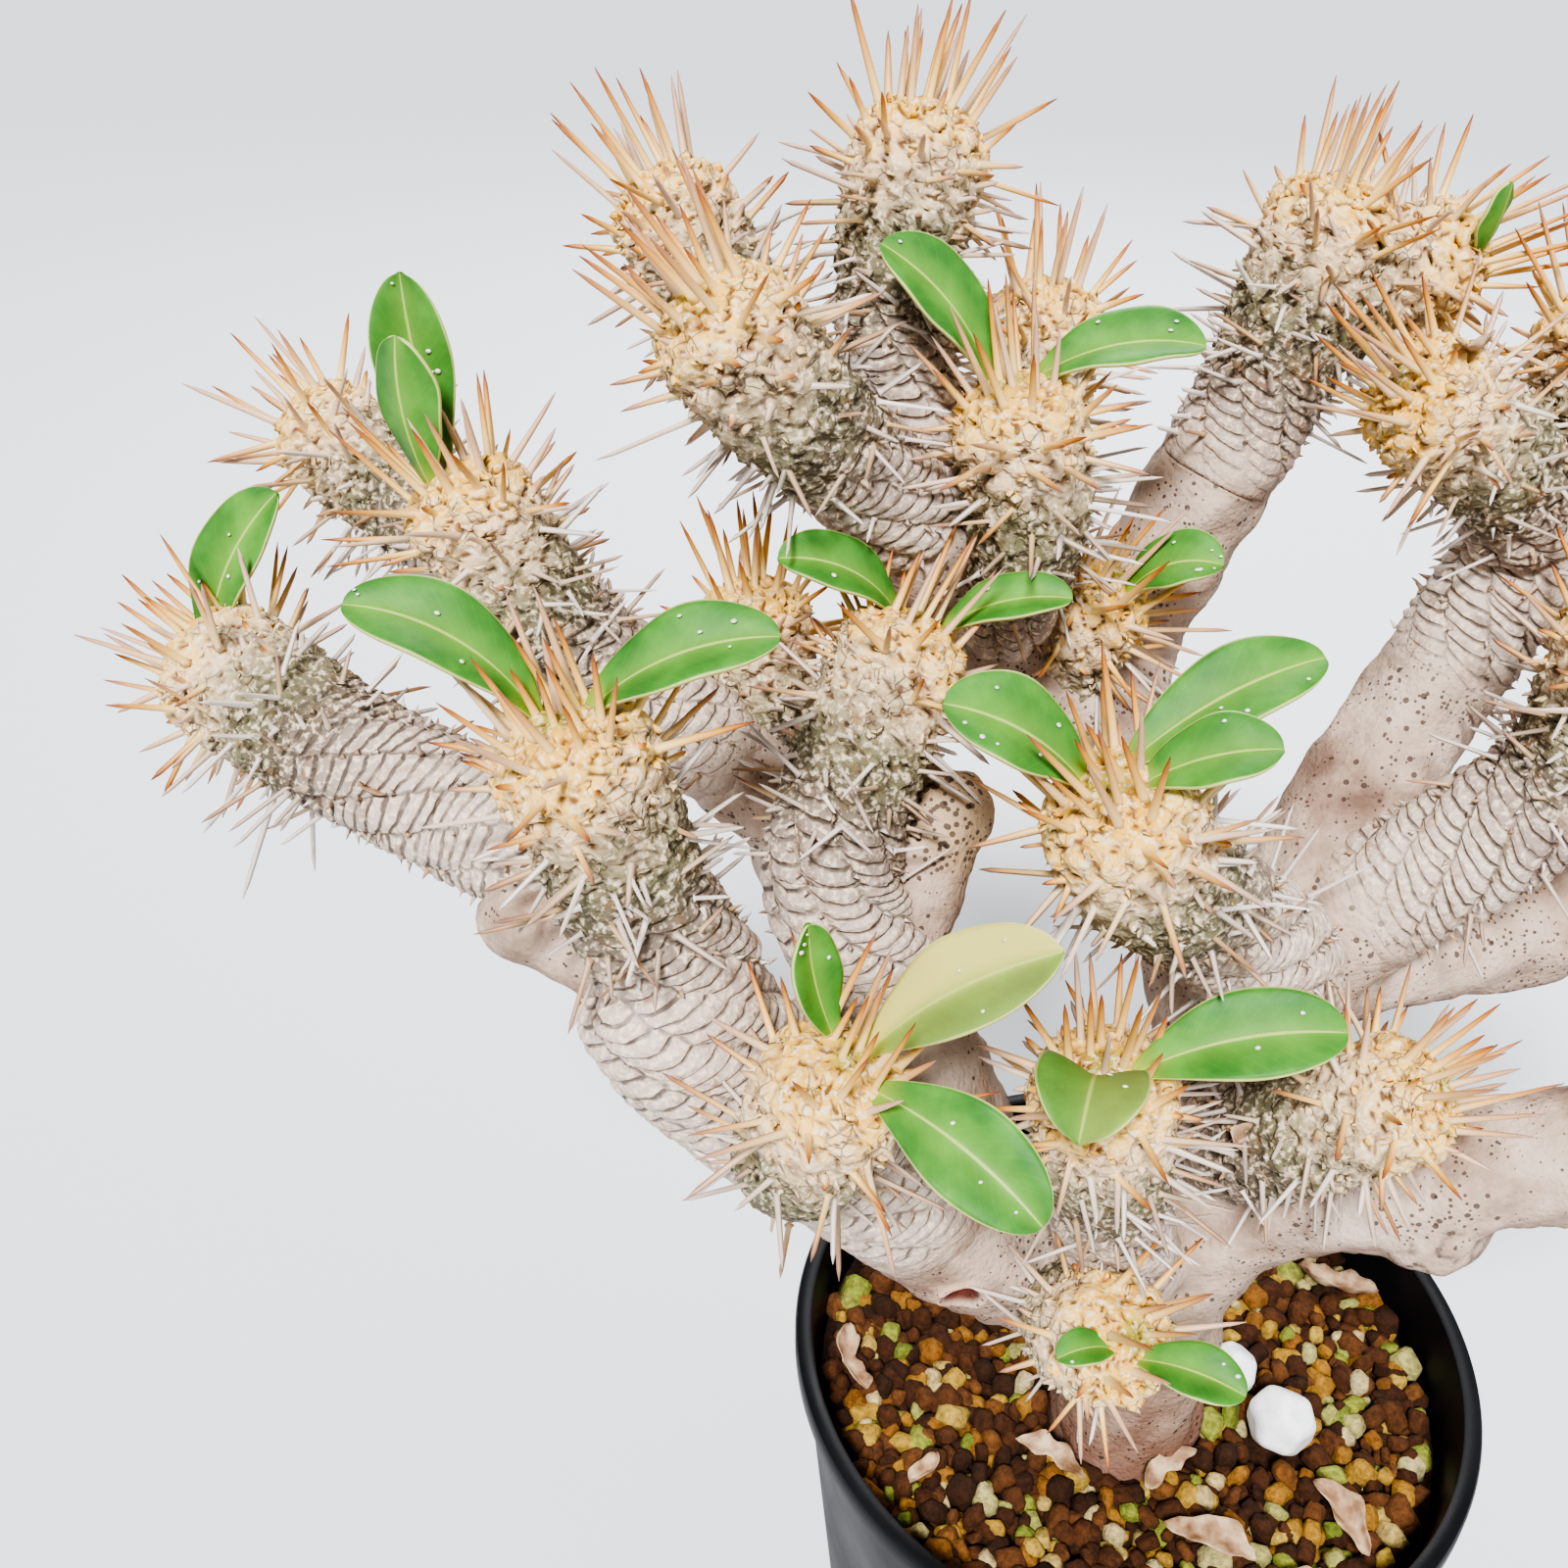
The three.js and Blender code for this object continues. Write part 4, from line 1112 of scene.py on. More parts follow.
    def teeth(self, draw: np.random.Generator) -> list[Spine]:
        """Short worn spines, and a few long ones, that stay on the borders between the columns of scars.

        Args:
            draw: What picks the places and sizes.

        Returns:
            The spines.
        """
        worn = []
        age = HEAD_AGE + 5
        while age < min(self.route.scarred - 6, self.line.length - 2):
            for column in range(self.columns):
                if draw.random() > 0.6:
                    continue
                gone = self.line.length - age + draw.uniform(-0.6, 0.6)
                angle = math.tau * (column / self.columns - self.twist * age) + draw.uniform(-0.05, 0.05)
                point, normal = self.stand(gone, angle)
                _, tangent, _, _ = self.line.at(np.array([gone]))
                long_one = draw.random() < 0.4 * (1 - age / 75)
                direction = normal + tangent[0] * draw.uniform(-0.7, 0.5)
                if long_one:
                    direction = direction + np.cross(tangent[0], normal) * draw.uniform(-0.7, 0.7)
                worn.append(
                    Spine(
                        point, direction / np.linalg.norm(direction),
                        draw.uniform(4, 11) if long_one else draw.uniform(0.9, 1.9),
                        0.36, age, gone, draw.random(), draw.uniform(-1.2, 1.2) if long_one else 0.0,
                        Form.OLD if long_one else Form.WORN,
                    )
                )
            age += self.step_pitch
        return worn

    def hull(self) -> BVHTree:
        """Makes a plain copy of the skin, to keep the spines of other stems out of it.

        Returns:
            The copy.
        """
        rows = np.arange(0, len(self.gone), 6).astype(float)
        angles = np.linspace(0, math.tau, 12, endpoint=False)
        points, _ = self.spot(*np.meshgrid(rows, angles, indexing="ij"))
        return grid_hull(points, closed=True)


# Meshes


def placed(name: str, data: ID) -> Object:
    """Puts an object in the scene.

    Args:
        name: Its name.
        data: Its mesh, light or camera.

    Returns:
        The object.
    """
    made = bpy.data.objects.new(name, data)
    bpy.context.scene.collection.objects.link(made)
    return made


def spun(section: list[tuple[float, float]], steps: int) -> Mesh:
    """Spins a section once round the z axis.

    Args:
        section: The radii and heights of its corners, from the axis back to the axis.
        steps: How many faces go round.

    Returns:
        The closed mesh, in metres.
    """
    shape = bmesh.new()
    corners = [shape.verts.new((r * MM, 0, z * MM)) for r, z in section]
    edges = [shape.edges.new(pair) for pair in zip(corners, corners[1:])]
    bmesh.ops.spin(
        shape, geom=corners + edges, cent=(0, 0, 0), axis=(0, 0, 1), angle=math.tau, steps=steps,
        use_merge=True,
    )
    return joined_seams(stored(shape, "spun"), [])


def grid_hull(points: np.ndarray, closed: bool) -> BVHTree:
    """Makes a grid of places into a plain skin that rays can be cast at.

    Args:
        points: The places, by row and column.
        closed: Whether the last column joins the first.

    Returns:
        The skin.
    """
    rows, columns = points.shape[:2]
    quads = []
    for r in range(rows - 1):
        for c in range(columns if closed else columns - 1):
            here = r * columns + c
            beside = r * columns + (c + 1) % columns
            quads.append((here, beside, beside + columns, here + columns))
    return BVHTree.FromPolygons([Vector(p) for p in points.reshape(-1, 3)], quads)


def wrapped_grid(
    points: np.ndarray, values: dict, scars: tuple, columns: int, poles: tuple
) -> Mesh:
    """Wraps a flat grid round a stem and closes both of its ends.

    Args:
        points: A place for each corner, by row and then round the stem.
        values: The attributes of each corner, by name.
        scars: The place of each corner across the columns of scars and up their steps.
        columns: How many columns of scars go round the stem.
        poles: The point that closes the first row, and the one that closes the last row, or nothing where
            the last row has already shrunk to a point.

    Returns:
        The mesh, in metres.
    """
    foot, top = poles

    def capped(grid: np.ndarray) -> np.ndarray:
        """Repeats a grid's first row, and its last where a point closes it."""
        return np.concatenate([grid[:1], grid, grid[len(grid) if top is None else -1:]])

    rows = capped(points)
    rows[0] = foot
    if top is not None:
        rows[-1] = top
    padded = {name: capped(value) for name, value in values.items()}
    across, climb = (capped(value) for value in scars)
    shape = bmesh.new()
    count, sides = rows.shape[:2]
    bmesh.ops.create_grid(shape, x_segments=count - 1, y_segments=sides, size=1.0)
    made = stored(shape, "stem")
    flat = np.zeros(len(made.vertices) * 3, np.float32)
    made.vertices.foreach_get("co", flat)
    flat = flat.reshape(-1, 3)
    row = np.rint((flat[:, 0] + 1) / 2 * (count - 1)).astype(int)
    turned = np.rint((flat[:, 1] + 1) / 2 * sides).astype(int)
    column = turned % sides
    made.vertices.foreach_set("co", (rows[row, column] * MM).astype(np.float32).ravel())
    for name, value in padded.items():
        layer = made.attributes.new(name, "FLOAT", "POINT")
        layer.data.foreach_set("value", value[row, column].astype(np.float32))
    corners = np.zeros(len(made.loops), np.int32)
    made.loops.foreach_get("vertex_index", corners)
    unrolled = across[row, column] + columns * (turned == sides)
    chart = made.uv_layers.new(name="scars")
    pairs = np.stack([unrolled[corners], climb[row, column][corners]], axis=-1)
    chart.data.foreach_set("uv", pairs.astype(np.float32).ravel())
    return joined_seams(made, [foot] if top is None else [foot, top])


def joined_seams(mesh: Mesh, poles: list) -> Mesh:
    """Merges a mesh's doubled corners, and turns its faces outwards.

    Args:
        mesh: The mesh, which is changed.
        poles: The middles of its flat ends, in millimetres, whose faces stay flat so that they don't shade
            the skin round them.

    Returns:
        The same mesh.
    """
    shape = bmesh.new()
    shape.from_mesh(mesh)
    bmesh.ops.remove_doubles(shape, verts=shape.verts, dist=1e-6)
    bmesh.ops.dissolve_degenerate(shape, edges=shape.edges, dist=1e-7)
    bmesh.ops.recalc_face_normals(shape, faces=shape.faces)
    for face in shape.faces:
        face.smooth = True
    for pole in poles:
        middle = Vector(pole) * MM
        for face in min(shape.verts, key=lambda corner: (corner.co - middle).length).link_faces:
            face.smooth = False
    shape.to_mesh(mesh)
    shape.free()
    return mesh


def stored(shape: bmesh.types.BMesh, name: str, smooth: bool = True) -> Mesh:
    """Turns a finished bmesh into a mesh.

    Args:
        shape: The bmesh, which is freed.
        name: The mesh's name.
        smooth: Whether its faces are shaded smooth.

    Returns:
        The mesh.
    """
    for face in shape.faces:
        face.smooth = smooth
    made = bpy.data.meshes.new(name)
    shape.to_mesh(made)
    shape.free()
    return made


def spine_template(sides: int, flare: float, girth: tuple) -> Mesh:
    """A spine of length 1 and radius 1 along z.

    Args:
        sides: How many sides it has.
        flare: The radius of its base.
        girth: Pairs of a height and the radius there, from the base to near the tip.

    Returns:
        The mesh.
    """
    shape = bmesh.new()
    bmesh.ops.create_cone(
        shape, cap_ends=True, segments=sides, radius1=flare, radius2=0.1, depth=1.0,
        matrix=Matrix.Translation((0, 0, 0.5)),
    )
    for height, radius in girth:
        cut = bmesh.ops.bisect_plane(
            shape, geom=shape.verts[:] + shape.edges[:] + shape.faces[:], plane_co=(0, 0, height),
            plane_no=(0, 0, 1),
        )
        for corner in cut["geom_cut"]:
            if isinstance(corner, bmesh.types.BMVert):
                corner.co.xy = Vector((corner.co.x, corner.co.y)).normalized() * radius
    return stored(shape, "spine")


class Assembly:
    """A piece put together from meshes, each with its finish, which keeps their attributes."""

    attributes = ("age", "groove", "bare", "ladder", "speck", "rust", "along", "tone", "across", "pale")

    def __init__(self, name: str) -> None:
        """Starts an empty piece.

        Args:
            name: The finished object's name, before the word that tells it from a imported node.
        """
        self.name = f"{name}_dressed"
        self.shape = bmesh.new()
        self.layers = {a: self.shape.verts.layers.float.new(a) for a in self.attributes}
        self.shape.loops.layers.uv.new("scars")
        self.materials: list[Material] = []

    def add(self, mesh: Mesh, material: Material) -> list:
        """Adds a mesh.

        Args:
            mesh: What to add.
            material: Its finish.

        Returns:
            The corners that came with it.
        """
        if material not in self.materials:
            self.materials.append(material)
        corners, faces = len(self.shape.verts), len(self.shape.faces)
        self.shape.from_mesh(mesh)
        self.shape.verts.ensure_lookup_table()
        self.shape.faces.ensure_lookup_table()
        for face in self.shape.faces[faces:]:
            face.material_index = self.materials.index(material)
        return self.shape.verts[corners:]

    def add_spine(self, template: Mesh, spine: Spine, material: Material) -> None:
        """Adds one spine.

        Args:
            template: A spine of length 1 and radius 1.
            spine: Its place and size.
            material: Its finish.
        """
        corners = self.add(template, material)
        turn = Vector((0, 0, 1)).rotation_difference(Vector(spine.direction))
        thick = spine.radius * (0.22 if spine.form is Form.FLAKE else 1.0)
        size = Matrix.Rotation(spine.spin, 4, "Z") @ Matrix.Diagonal((spine.radius, thick, spine.length, 1.0))
        place = Matrix.Translation(Vector(spine.root)) @ turn.to_matrix().to_4x4() @ size
        for corner in corners:
            corner[self.layers["along"]] = corner.co.z
            corner[self.layers["age"]] = spine.age
            corner[self.layers["tone"]] = spine.tone
            sway = spine.bend / spine.radius * corner.co.z**2
            corner.co = (place @ (corner.co + Vector((sway, 0, 0)))) * MM

    def finish(self, slot: str, nodes: tuple[str, ...] = ()) -> Object:
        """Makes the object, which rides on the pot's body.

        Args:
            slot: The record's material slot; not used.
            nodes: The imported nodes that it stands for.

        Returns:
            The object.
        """
        mesh = bpy.data.meshes.new(self.name)
        self.shape.to_mesh(mesh)
        self.shape.free()
        for material in self.materials:
            mesh.materials.append(material)
        piece = placed(self.name, mesh)
        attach(piece, BODY)
        if nodes:
            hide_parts(*nodes)
        triangles = sum(len(p.vertices) - 2 for p in mesh.polygons)
        log.info("%s: %d triangles", self.name, triangles)
        return piece


# Leaves


@dataclass(frozen=True)
class Leaf:
    """One leaf: the shoot and the side of the head that it grows from, where its tip lies as seen from its
    base, and the shape of its blade.

    Attributes:
        shoot: The number of its branch.
        side: The side of the head that it grows from, in degrees.
        azimuth: Which way its tip lies from its base.
        elevation: How high its tip lies above its base, in degrees.
        chord: How far its tip lies from its base.
        arch: How far the blade arches on the way, in degrees.
        width: Its greatest width before it folds.
        roll: How far it is rolled round its rib, in degrees.
        fork: True where it grows on the second head of a forked shoot.
        pale: How far it has turned yellow, from 0 to 1.
    """

    shoot: int
    side: float
    azimuth: float
    elevation: float
    chord: float
    arch: float
    width: float
    roll: float
    fork: bool = False
    pale: float = 0.0

    rows: int = 34  # the corners of the blade's grid from base to tip
    columns: int = 14  # its faces from edge to edge
    thickness: float = 0.5
    fold: float = 24.0  # how far each half is folded up along the rib, in degrees
    stalk: float = 1.8  # the width of its stalk

    def half_width(self, along: np.ndarray) -> np.ndarray:
        """Half the blade's width: narrow at the stalk, widest past the middle, and round at the tip.

        Args:
            along: Places along the blade, from 0 to 1.

        Returns:
            Half the width at each place.
        """
        swell = np.clip(0.04 + 0.96 * along, 0, 1) ** 1.45
        shape = np.sin(math.pi * swell).clip(0) ** np.where(swell < 0.5, 0.75, 0.5)
        stalk = self.stalk * (1 - ease(along, 0.5, 0.99))
        return np.maximum(stalk, self.width * shape) / 2

    def surface(self, base: np.ndarray) -> tuple[np.ndarray, np.ndarray, np.ndarray, np.ndarray]:
        """The middle of the blade as a grid.

        Args:
            base: Where its stalk stands.

        Returns:
            The points, how far along and across the blade each lies, and the direction its face looks.
        """
        heading = np.array([math.cos(math.radians(self.azimuth)), math.sin(math.radians(self.azimuth)), 0.0])
        aside = np.array([-heading[1], heading[0], 0.0])
        up = np.array([0.0, 0.0, 1.0])
        arch = math.radians(self.arch)
        length = self.chord * arch / math.sin(arch)
        along = 1 - (1 - np.linspace(0, 1, self.rows)) ** 1.5
        rise = math.radians(self.elevation) + arch * (1 - 2 * along)
        middle = math.radians(self.elevation) + arch * (1 - 2 * (along[:-1] + along[1:]) / 2)
        step = length * np.diff(along)[:, None]
        walk = step * (np.cos(middle)[:, None] * heading + np.sin(middle)[:, None] * up)
        rib = base + np.vstack([np.zeros(3), np.cumsum(walk, axis=0)])
        tangent = np.cos(rise)[:, None] * heading + np.sin(rise)[:, None] * up
        normal = np.cross(tangent, aside)
        roll = math.radians(self.roll)
        side = aside * math.cos(roll) + normal * math.sin(roll)
        face = np.cross(tangent, side)
        across = np.linspace(-1, 1, self.columns + 1)
        half = self.half_width(along)[:, None, None]
        fold = math.radians(self.fold)
        soft = np.sqrt(across**2 + 0.012) - math.sqrt(0.012)
        wave = 0.05 * np.sin(math.tau * (2.1 * along[:, None] + 0.23 * self.shoot)) * across**2
        lift = soft * math.sin(fold) - 0.1 * across**4
        points = rib[:, None] + side[:, None] * across[None, :, None] * half * math.cos(fold)
        points = points + face[:, None] * half * (lift[None, :, None] + wave[..., None])
        return points, *np.meshgrid(along, across, indexing="ij"), face

    def blade(self, base: np.ndarray) -> Mesh:
        """Makes the blade, with its along, across and pale attributes.

        Args:
            base: Where its stalk stands.

        Returns:
            The closed mesh.
        """
        points, along, across, _ = self.surface(base)
        shape = bmesh.new()
        bmesh.ops.create_grid(shape, x_segments=self.rows - 1, y_segments=self.columns, size=1.0)
        layers = {a: shape.verts.layers.float.new(a) for a in ("along", "across", "pale")}
        for corner in shape.verts:
            i = round((corner.co.x + 1) / 2 * (self.rows - 1))
            j = round((corner.co.y + 1) / 2 * self.columns)
            corner[layers["along"]] = along[i, j]
            corner[layers["across"]] = across[i, j]
            corner[layers["pale"]] = self.pale * (0.3 + 0.7 * float(ease(across[i, j], -0.25, 0.35)))
            corner.co = Vector(points[i, j]) * MM
        bmesh.ops.recalc_face_normals(shape, faces=shape.faces)
        bmesh.ops.solidify(shape, geom=shape.faces[:], thickness=self.thickness * MM)
        bmesh.ops.recalc_face_normals(shape, faces=shape.faces)
        return stored(shape, "blade")

    def dots(self, base: np.ndarray, seed: int) -> list[Mesh]:
        """Small white dots on the upper face.

        Args:
            base: Where the leaf's stalk stands.
            seed: What scatters them.

        Returns:
            A mesh for each dot.
        """
        points, _, _, face = self.surface(base)
        draw = random.Random(seed)
        made = []
        for _ in range(draw.randint(1, 6) if self.chord > 15 else 1):
            i = draw.randint(self.rows // 4, self.rows - 5)
            j = draw.choice([k for k in range(2, self.columns - 1) if abs(k - self.columns // 2) > 1])
            size = draw.uniform(0.2, 0.42)
            shape = bmesh.new()
            bmesh.ops.create_icosphere(shape, subdivisions=1, radius=size)
            bmesh.ops.scale(shape, vec=(1.2, 0.9, 0.3), verts=shape.verts)
            turn = Vector((0, 0, 1)).rotation_difference(Vector(face[i])).to_matrix()
            bmesh.ops.rotate(shape, verts=shape.verts, cent=(0, 0, 0), matrix=turn)
            above = points[i, j] + face[i] * (self.thickness * 0.5 + 0.02)
            bmesh.ops.translate(shape, vec=Vector(above), verts=shape.verts)
            bmesh.ops.scale(shape, vec=(MM, MM, MM), verts=shape.verts)
            made.append(stored(shape, "dot"))
        return made


LEAVES = {
    1: Leaf(1, 140, 16, 62, 29, 22, 12, 40),
    2: Leaf(3, 125, 130, 76, 28, -14, 12, -40),
    3: Leaf(3, 200, 200, 84, 22, -16, 12, 40),
    4: Leaf(4, 140, 174, 34, 27, 34, 12, -24),
    5: Leaf(4, 30, 2, 24, 26, 26, 12, 24),
    6: Leaf(6, 130, -168, 33, 21, 34, 10, -34),
    7: Leaf(6, 20, -10, 22, 20, 26, 9, 22),
    8: Leaf(7, -60, -24, 32, 16, 40, 11, 30),
    9: Leaf(8, 150, 178, 33, 22, 24, 13, -34),
    10: Leaf(8, -10, -14, 27, 18, 20, 11, 24),
    11: Leaf(8, 60, 16, 25, 29, 20, 12, 22),
    12: Leaf(11, 130, 172, 50, 25, 22, 12, -34),
    13: Leaf(11, 40, -6, 15, 24, 26, 12, 22),
    14: Leaf(14, -80, -80, 70, 12, -20, 7, 30, fork=True),
    15: Leaf(18, 110, 150, 76, 18, -14, 8, -20),
    16: Leaf(18, 40, -14, 44, 31, 16, 13, 40, pale=0.8),
    17: Leaf(18, -50, -40, -12, 27, 22, 13, 34),
    18: Leaf(19, -120, -108, 26, 20, 50, 15, 0, pale=0.25),
    19: Leaf(19, -20, -2, 18, 28, 22, 13, 30),
    20: Leaf(21, -80, -28, 8, 16, 24, 9, 14),
    21: Leaf(21, -130, -160, 16, 10, 34, 6, -10),
    22: Leaf(23, -40, -40, 34, 25, 26, 12, 10),
    23: Leaf(24, 20, 20, 36, 26, 26, 12, 10),
    24: Leaf(25, 60, 60, 40, 25, 24, 12, -10),
    25: Leaf(26, -60, -60, 34, 24, 26, 11, 10),
}


# The plant


@dataclass
class Finishes:
    """Every material of the part, made once."""

    pot: Material = field(
        default_factory=MouldedPolypropylene("moulded_polypropylene", 0.38, 1.49).material
    )
    clay: Material = field(default_factory=BakedClay("baked_clay_grains", 0.92).material)
    pellet: Material = field(default_factory=ChalkyPellet("chalky_pellet", 0.85).material)
    skin: Material = field(default_factory=SucculentSkin("succulent_skin", 0.8).material)
    spine: Material = field(default_factory=HornySpine("horny_spine", 0.5, 1.54).material)
    leaf: Material = field(default_factory=LeatheryLeaf("leathery_leaf", 0.52).material)
    dry: Material = field(default_factory=DryTissue("dry_tissue", 0.9).material)
    dot: Material = field(default_factory=MineralDot("mineral_dot", 0.85).material)


@dataclass
class Plant:
    """The trunk, the shoots with their spines, and the leaves."""

    finishes: Finishes
    leaf_base_depth: float = 1.5  # how far below the tip of its head a leaf's stalk stands
    leaf_base_reach: float = 3.0  # how far it stands from the middle of the head
    smooth_voxel: float = 1.5  # the size of the cubes that the smooth limbs are fused in
    limb_sides: int = 40  # how many faces go round a smooth limb
    trunk_sides: int = 46  # how many go round a scarred one
    stub_dome: float = 7.0  # how far below a limb's end its round end starts
    buried: float = 5.0  # how much of a branch's root lies deep inside its limb
    tuck: float = 1.5  # how far the end of one skin is drawn in under the next

    def __post_init__(self) -> None:
        """Lays out every stem."""
        self.stems = {n: Stem(route, seed=17 * n) for n, route in BRANCHES.items()}
        self.forks = {
            n: Stem(Route(route.fork, start=0), seed=17 * n + 5)
            for n, route in BRANCHES.items() if route.fork
        }
        self.limbs = {
            name: Stem(
                route, seed=900 + i, sides=self.trunk_sides if route.scarred else self.limb_sides,
                old_spacing=0.6 if route.scarred else 1.0, spacing=1.0, dome=self.stub_dome,
            )
            for i, (name, route) in enumerate(LIMBS.items())
        }
        self.shapes = {
            Form.YOUNG: spine_template(5, 1.7, ((0.08, 1.1), (0.45, 0.9), (0.82, 0.6))),
            Form.OLD: spine_template(4, 1.9, ((0.07, 1.05), (0.85, 0.75))),
            Form.WORN: spine_template(3, 1.5, ((0.45, 0.85),)),
            Form.FLAKE: spine_template(4, 0.9, ((0.5, 1.1),)),
        }
        self.hulls = {("branch", n): stem.hull() for n, stem in self.stems.items()}
        self.hulls |= {("fork", n): stem.hull() for n, stem in self.forks.items()}
        self.hulls |= {("limb", n): stem.hull() for n, stem in self.limbs.items()}
        self.hulls |= {("leaf", n): self.leaf_hull(leaf) for n, leaf in LEAVES.items()}

    def leaf_base(self, leaf: Leaf) -> np.ndarray:
        """Finds where a leaf's stalk stands on its head.

        Args:
            leaf: The leaf.

        Returns:
            The place.
        """
        stem = self.forks[leaf.shoot] if leaf.fork else self.stems[leaf.shoot]
        centre, tangent, _, _ = stem.line.at(np.array([stem.line.length - self.leaf_base_depth]))
        out = np.array([math.cos(math.radians(leaf.side)), math.sin(math.radians(leaf.side)), 0.0])
        out = out - tangent[0] * out.dot(tangent[0])
        return centre[0] + self.leaf_base_reach * out / np.linalg.norm(out)

    def leaf_hull(self, leaf: Leaf) -> BVHTree:
        """A leaf's blade, to keep the spines out of it."""
        points, _, _, _ = leaf.surface(self.leaf_base(leaf))
        return grid_hull(points[2:], closed=False)

    def cleared(self, spines: list[Spine], own: tuple) -> list[Spine]:
        """Shortens or drops the spines that would run into another stem or a leaf.

        Args:
            spines: The spines of one stem.
            own: The keys of the hulls that they may touch.

        Returns:
            Those that are clear.
        """
        kept = []
        for spine in spines:
            root, direction = Vector(spine.root), Vector(spine.direction)
            room = spine.length
            for key, hull in self.hulls.items():
                if key in own:
                    continue
                hit = hull.ray_cast(root, direction, spine.length + 1)
                if hit[0] is not None:
                    room = min(room, hit[3] - 0.8)
            if spine.form is Form.FLAKE or room >= min(3.0, spine.length):
                spine.length = max(room, 0.5)
                kept.append(spine)
        return kept

    def build_shoots(self) -> None:
        """Makes a piece for each living shoot, and keeps the spines that stand on its stump for the trunk."""
        self.stump_spines: list[Spine] = []
        for number, stem in self.stems.items():
            own = (("branch", number), ("fork", number))
            start = stem.route.start
            spines = self.cleared(stem.spines(), own)
            self.stump_spines += [s for s in spines if s.gone < start]
            name = f"shoot_{number:02d}"
            piece = Assembly(name)
            piece.add(stem.tube(start, stem.line.length), self.finishes.skin)
            grown = [s for s in spines if s.gone >= start]
            if number in self.forks:
                fork = self.forks[number]
                piece.add(fork.tube(0, fork.line.length), self.finishes.skin)
                grown += self.cleared(fork.spines(), own)
            self.arm(piece, grown)
            piece.finish("shoot", (name,))

    def build_trunk(self) -> None:
        """Makes the trunk: the smooth fused limbs, and the scarred stumps that come up out of them."""
        piece = Assembly("trunk")
        smooth = []
        scarred = []
        for stem in (*self.limbs.values(), *self.stems.values()):
            length, route = stem.line.length, stem.route
            fade = length + route.tip_age - route.scarred if route.scarred else math.inf
            end = length if route.start is None else route.start
            reach = fade + stem.overlap
            if reach > 0:
                smooth.append(stem.tube(0, min(length, reach), dive=self.tuck if reach < length else 0))
            if fade < end:
                first = max(0.0, fade - stem.overlap / 2)
                rise = self.tuck if first > 0 else 0.0
                first = max(first, min(self.buried, end / 2))
                scarred.append(stem.tube(first, end, rise, sides=self.trunk_sides))
        piece.add(self.fused(smooth), self.finishes.skin)
        for mesh in scarred:
            piece.add(mesh, self.finishes.skin)
        self.arm(piece, self.stump_spines)
        piece.finish("bark", ("trunk",))

    def arm(self, piece: Assembly, spines: list[Spine]) -> None:
        """Adds spines and flakes to a piece.

        Args:
            piece: The piece.
            spines: What it is given.
        """
        for spine in spines:
            finish = self.finishes.skin if spine.form is Form.FLAKE else self.finishes.spine
            piece.add_spine(self.shapes[spine.form], spine, finish)

    def fused(self, meshes: list[Mesh]) -> Mesh:
        """Fuses closed meshes in one skin that flows over their joints.

        Args:
            meshes: The limbs.

        Returns:
            The fused mesh.
        """
        shape = bmesh.new()
        for mesh in meshes:
            shape.from_mesh(mesh)
        holder = placed("limbs", stored(shape, "limbs"))
        remesh = holder.modifiers.new("remesh", "REMESH")
        remesh.mode = "VOXEL"
        remesh.voxel_size = self.smooth_voxel * MM
        relax = holder.modifiers.new("relax", "SMOOTH")
        relax.factor = 0.5
        relax.iterations = 5
        evaluated = holder.evaluated_get(bpy.context.evaluated_depsgraph_get())
        fused = bpy.data.meshes.new_from_object(evaluated)
        bpy.data.objects.remove(holder)
        self.refine(fused)
        places = np.zeros(len(fused.vertices) * 3, np.float32)
        normals = np.zeros_like(places)
        fused.vertices.foreach_get("co", places)
        fused.vertex_normals.foreach_get("vector", normals)
        places = places.reshape(-1, 3) / MM
        lumps = 0.3 * ripple(places, 7.0, 41) + 0.16 * ripple(places, 4.5, 42)
        values = {"age": np.full(len(places), BARE_AGE), "bare": np.ones(len(places))}
        values |= {"speck": np.zeros(len(places)), "rust": np.zeros(len(places))}
        crease = np.abs(ripple(places, 5.0, 71))
        for mark in BLEMISHES:
            away = np.linalg.norm(places - np.array(mark.centre), axis=1) / mark.radius
            within = 1 - ease(away, 0.65, 1.0)
            lumps += mark.wrinkled * within * (np.minimum(crease, 0.7) - 0.4)
            lumps += mark.hollow * (0.3 * np.exp(-((away - 0.9) / 0.14) ** 2) - 1 + ease(away, 0.35, 0.8))
            values["speck"] = np.maximum(values["speck"], mark.speckled * within)
            # the wrinkles' creases go into the groove, which darkens them, partly as painted shade
            if mark.wrinkled:
                values["groove"] = within * np.exp(-crease / 0.16)
            if mark.hollow:  # the rust is dark above zero and a pale rim below it
                values["rust"] = 1 - ease(away, 0.6, 0.8) - np.exp(-((away - 0.95) / 0.13) ** 2)
        fused.vertices.foreach_set("co", ((places + normals.reshape(-1, 3) * lumps[:, None]) * MM).ravel())
        for name, value in values.items():
            layer = fused.attributes.get(name) or fused.attributes.new(name, "FLOAT", "POINT")
            layer.data.foreach_set("value", value.astype(np.float32))
        return joined_seams(fused, [])

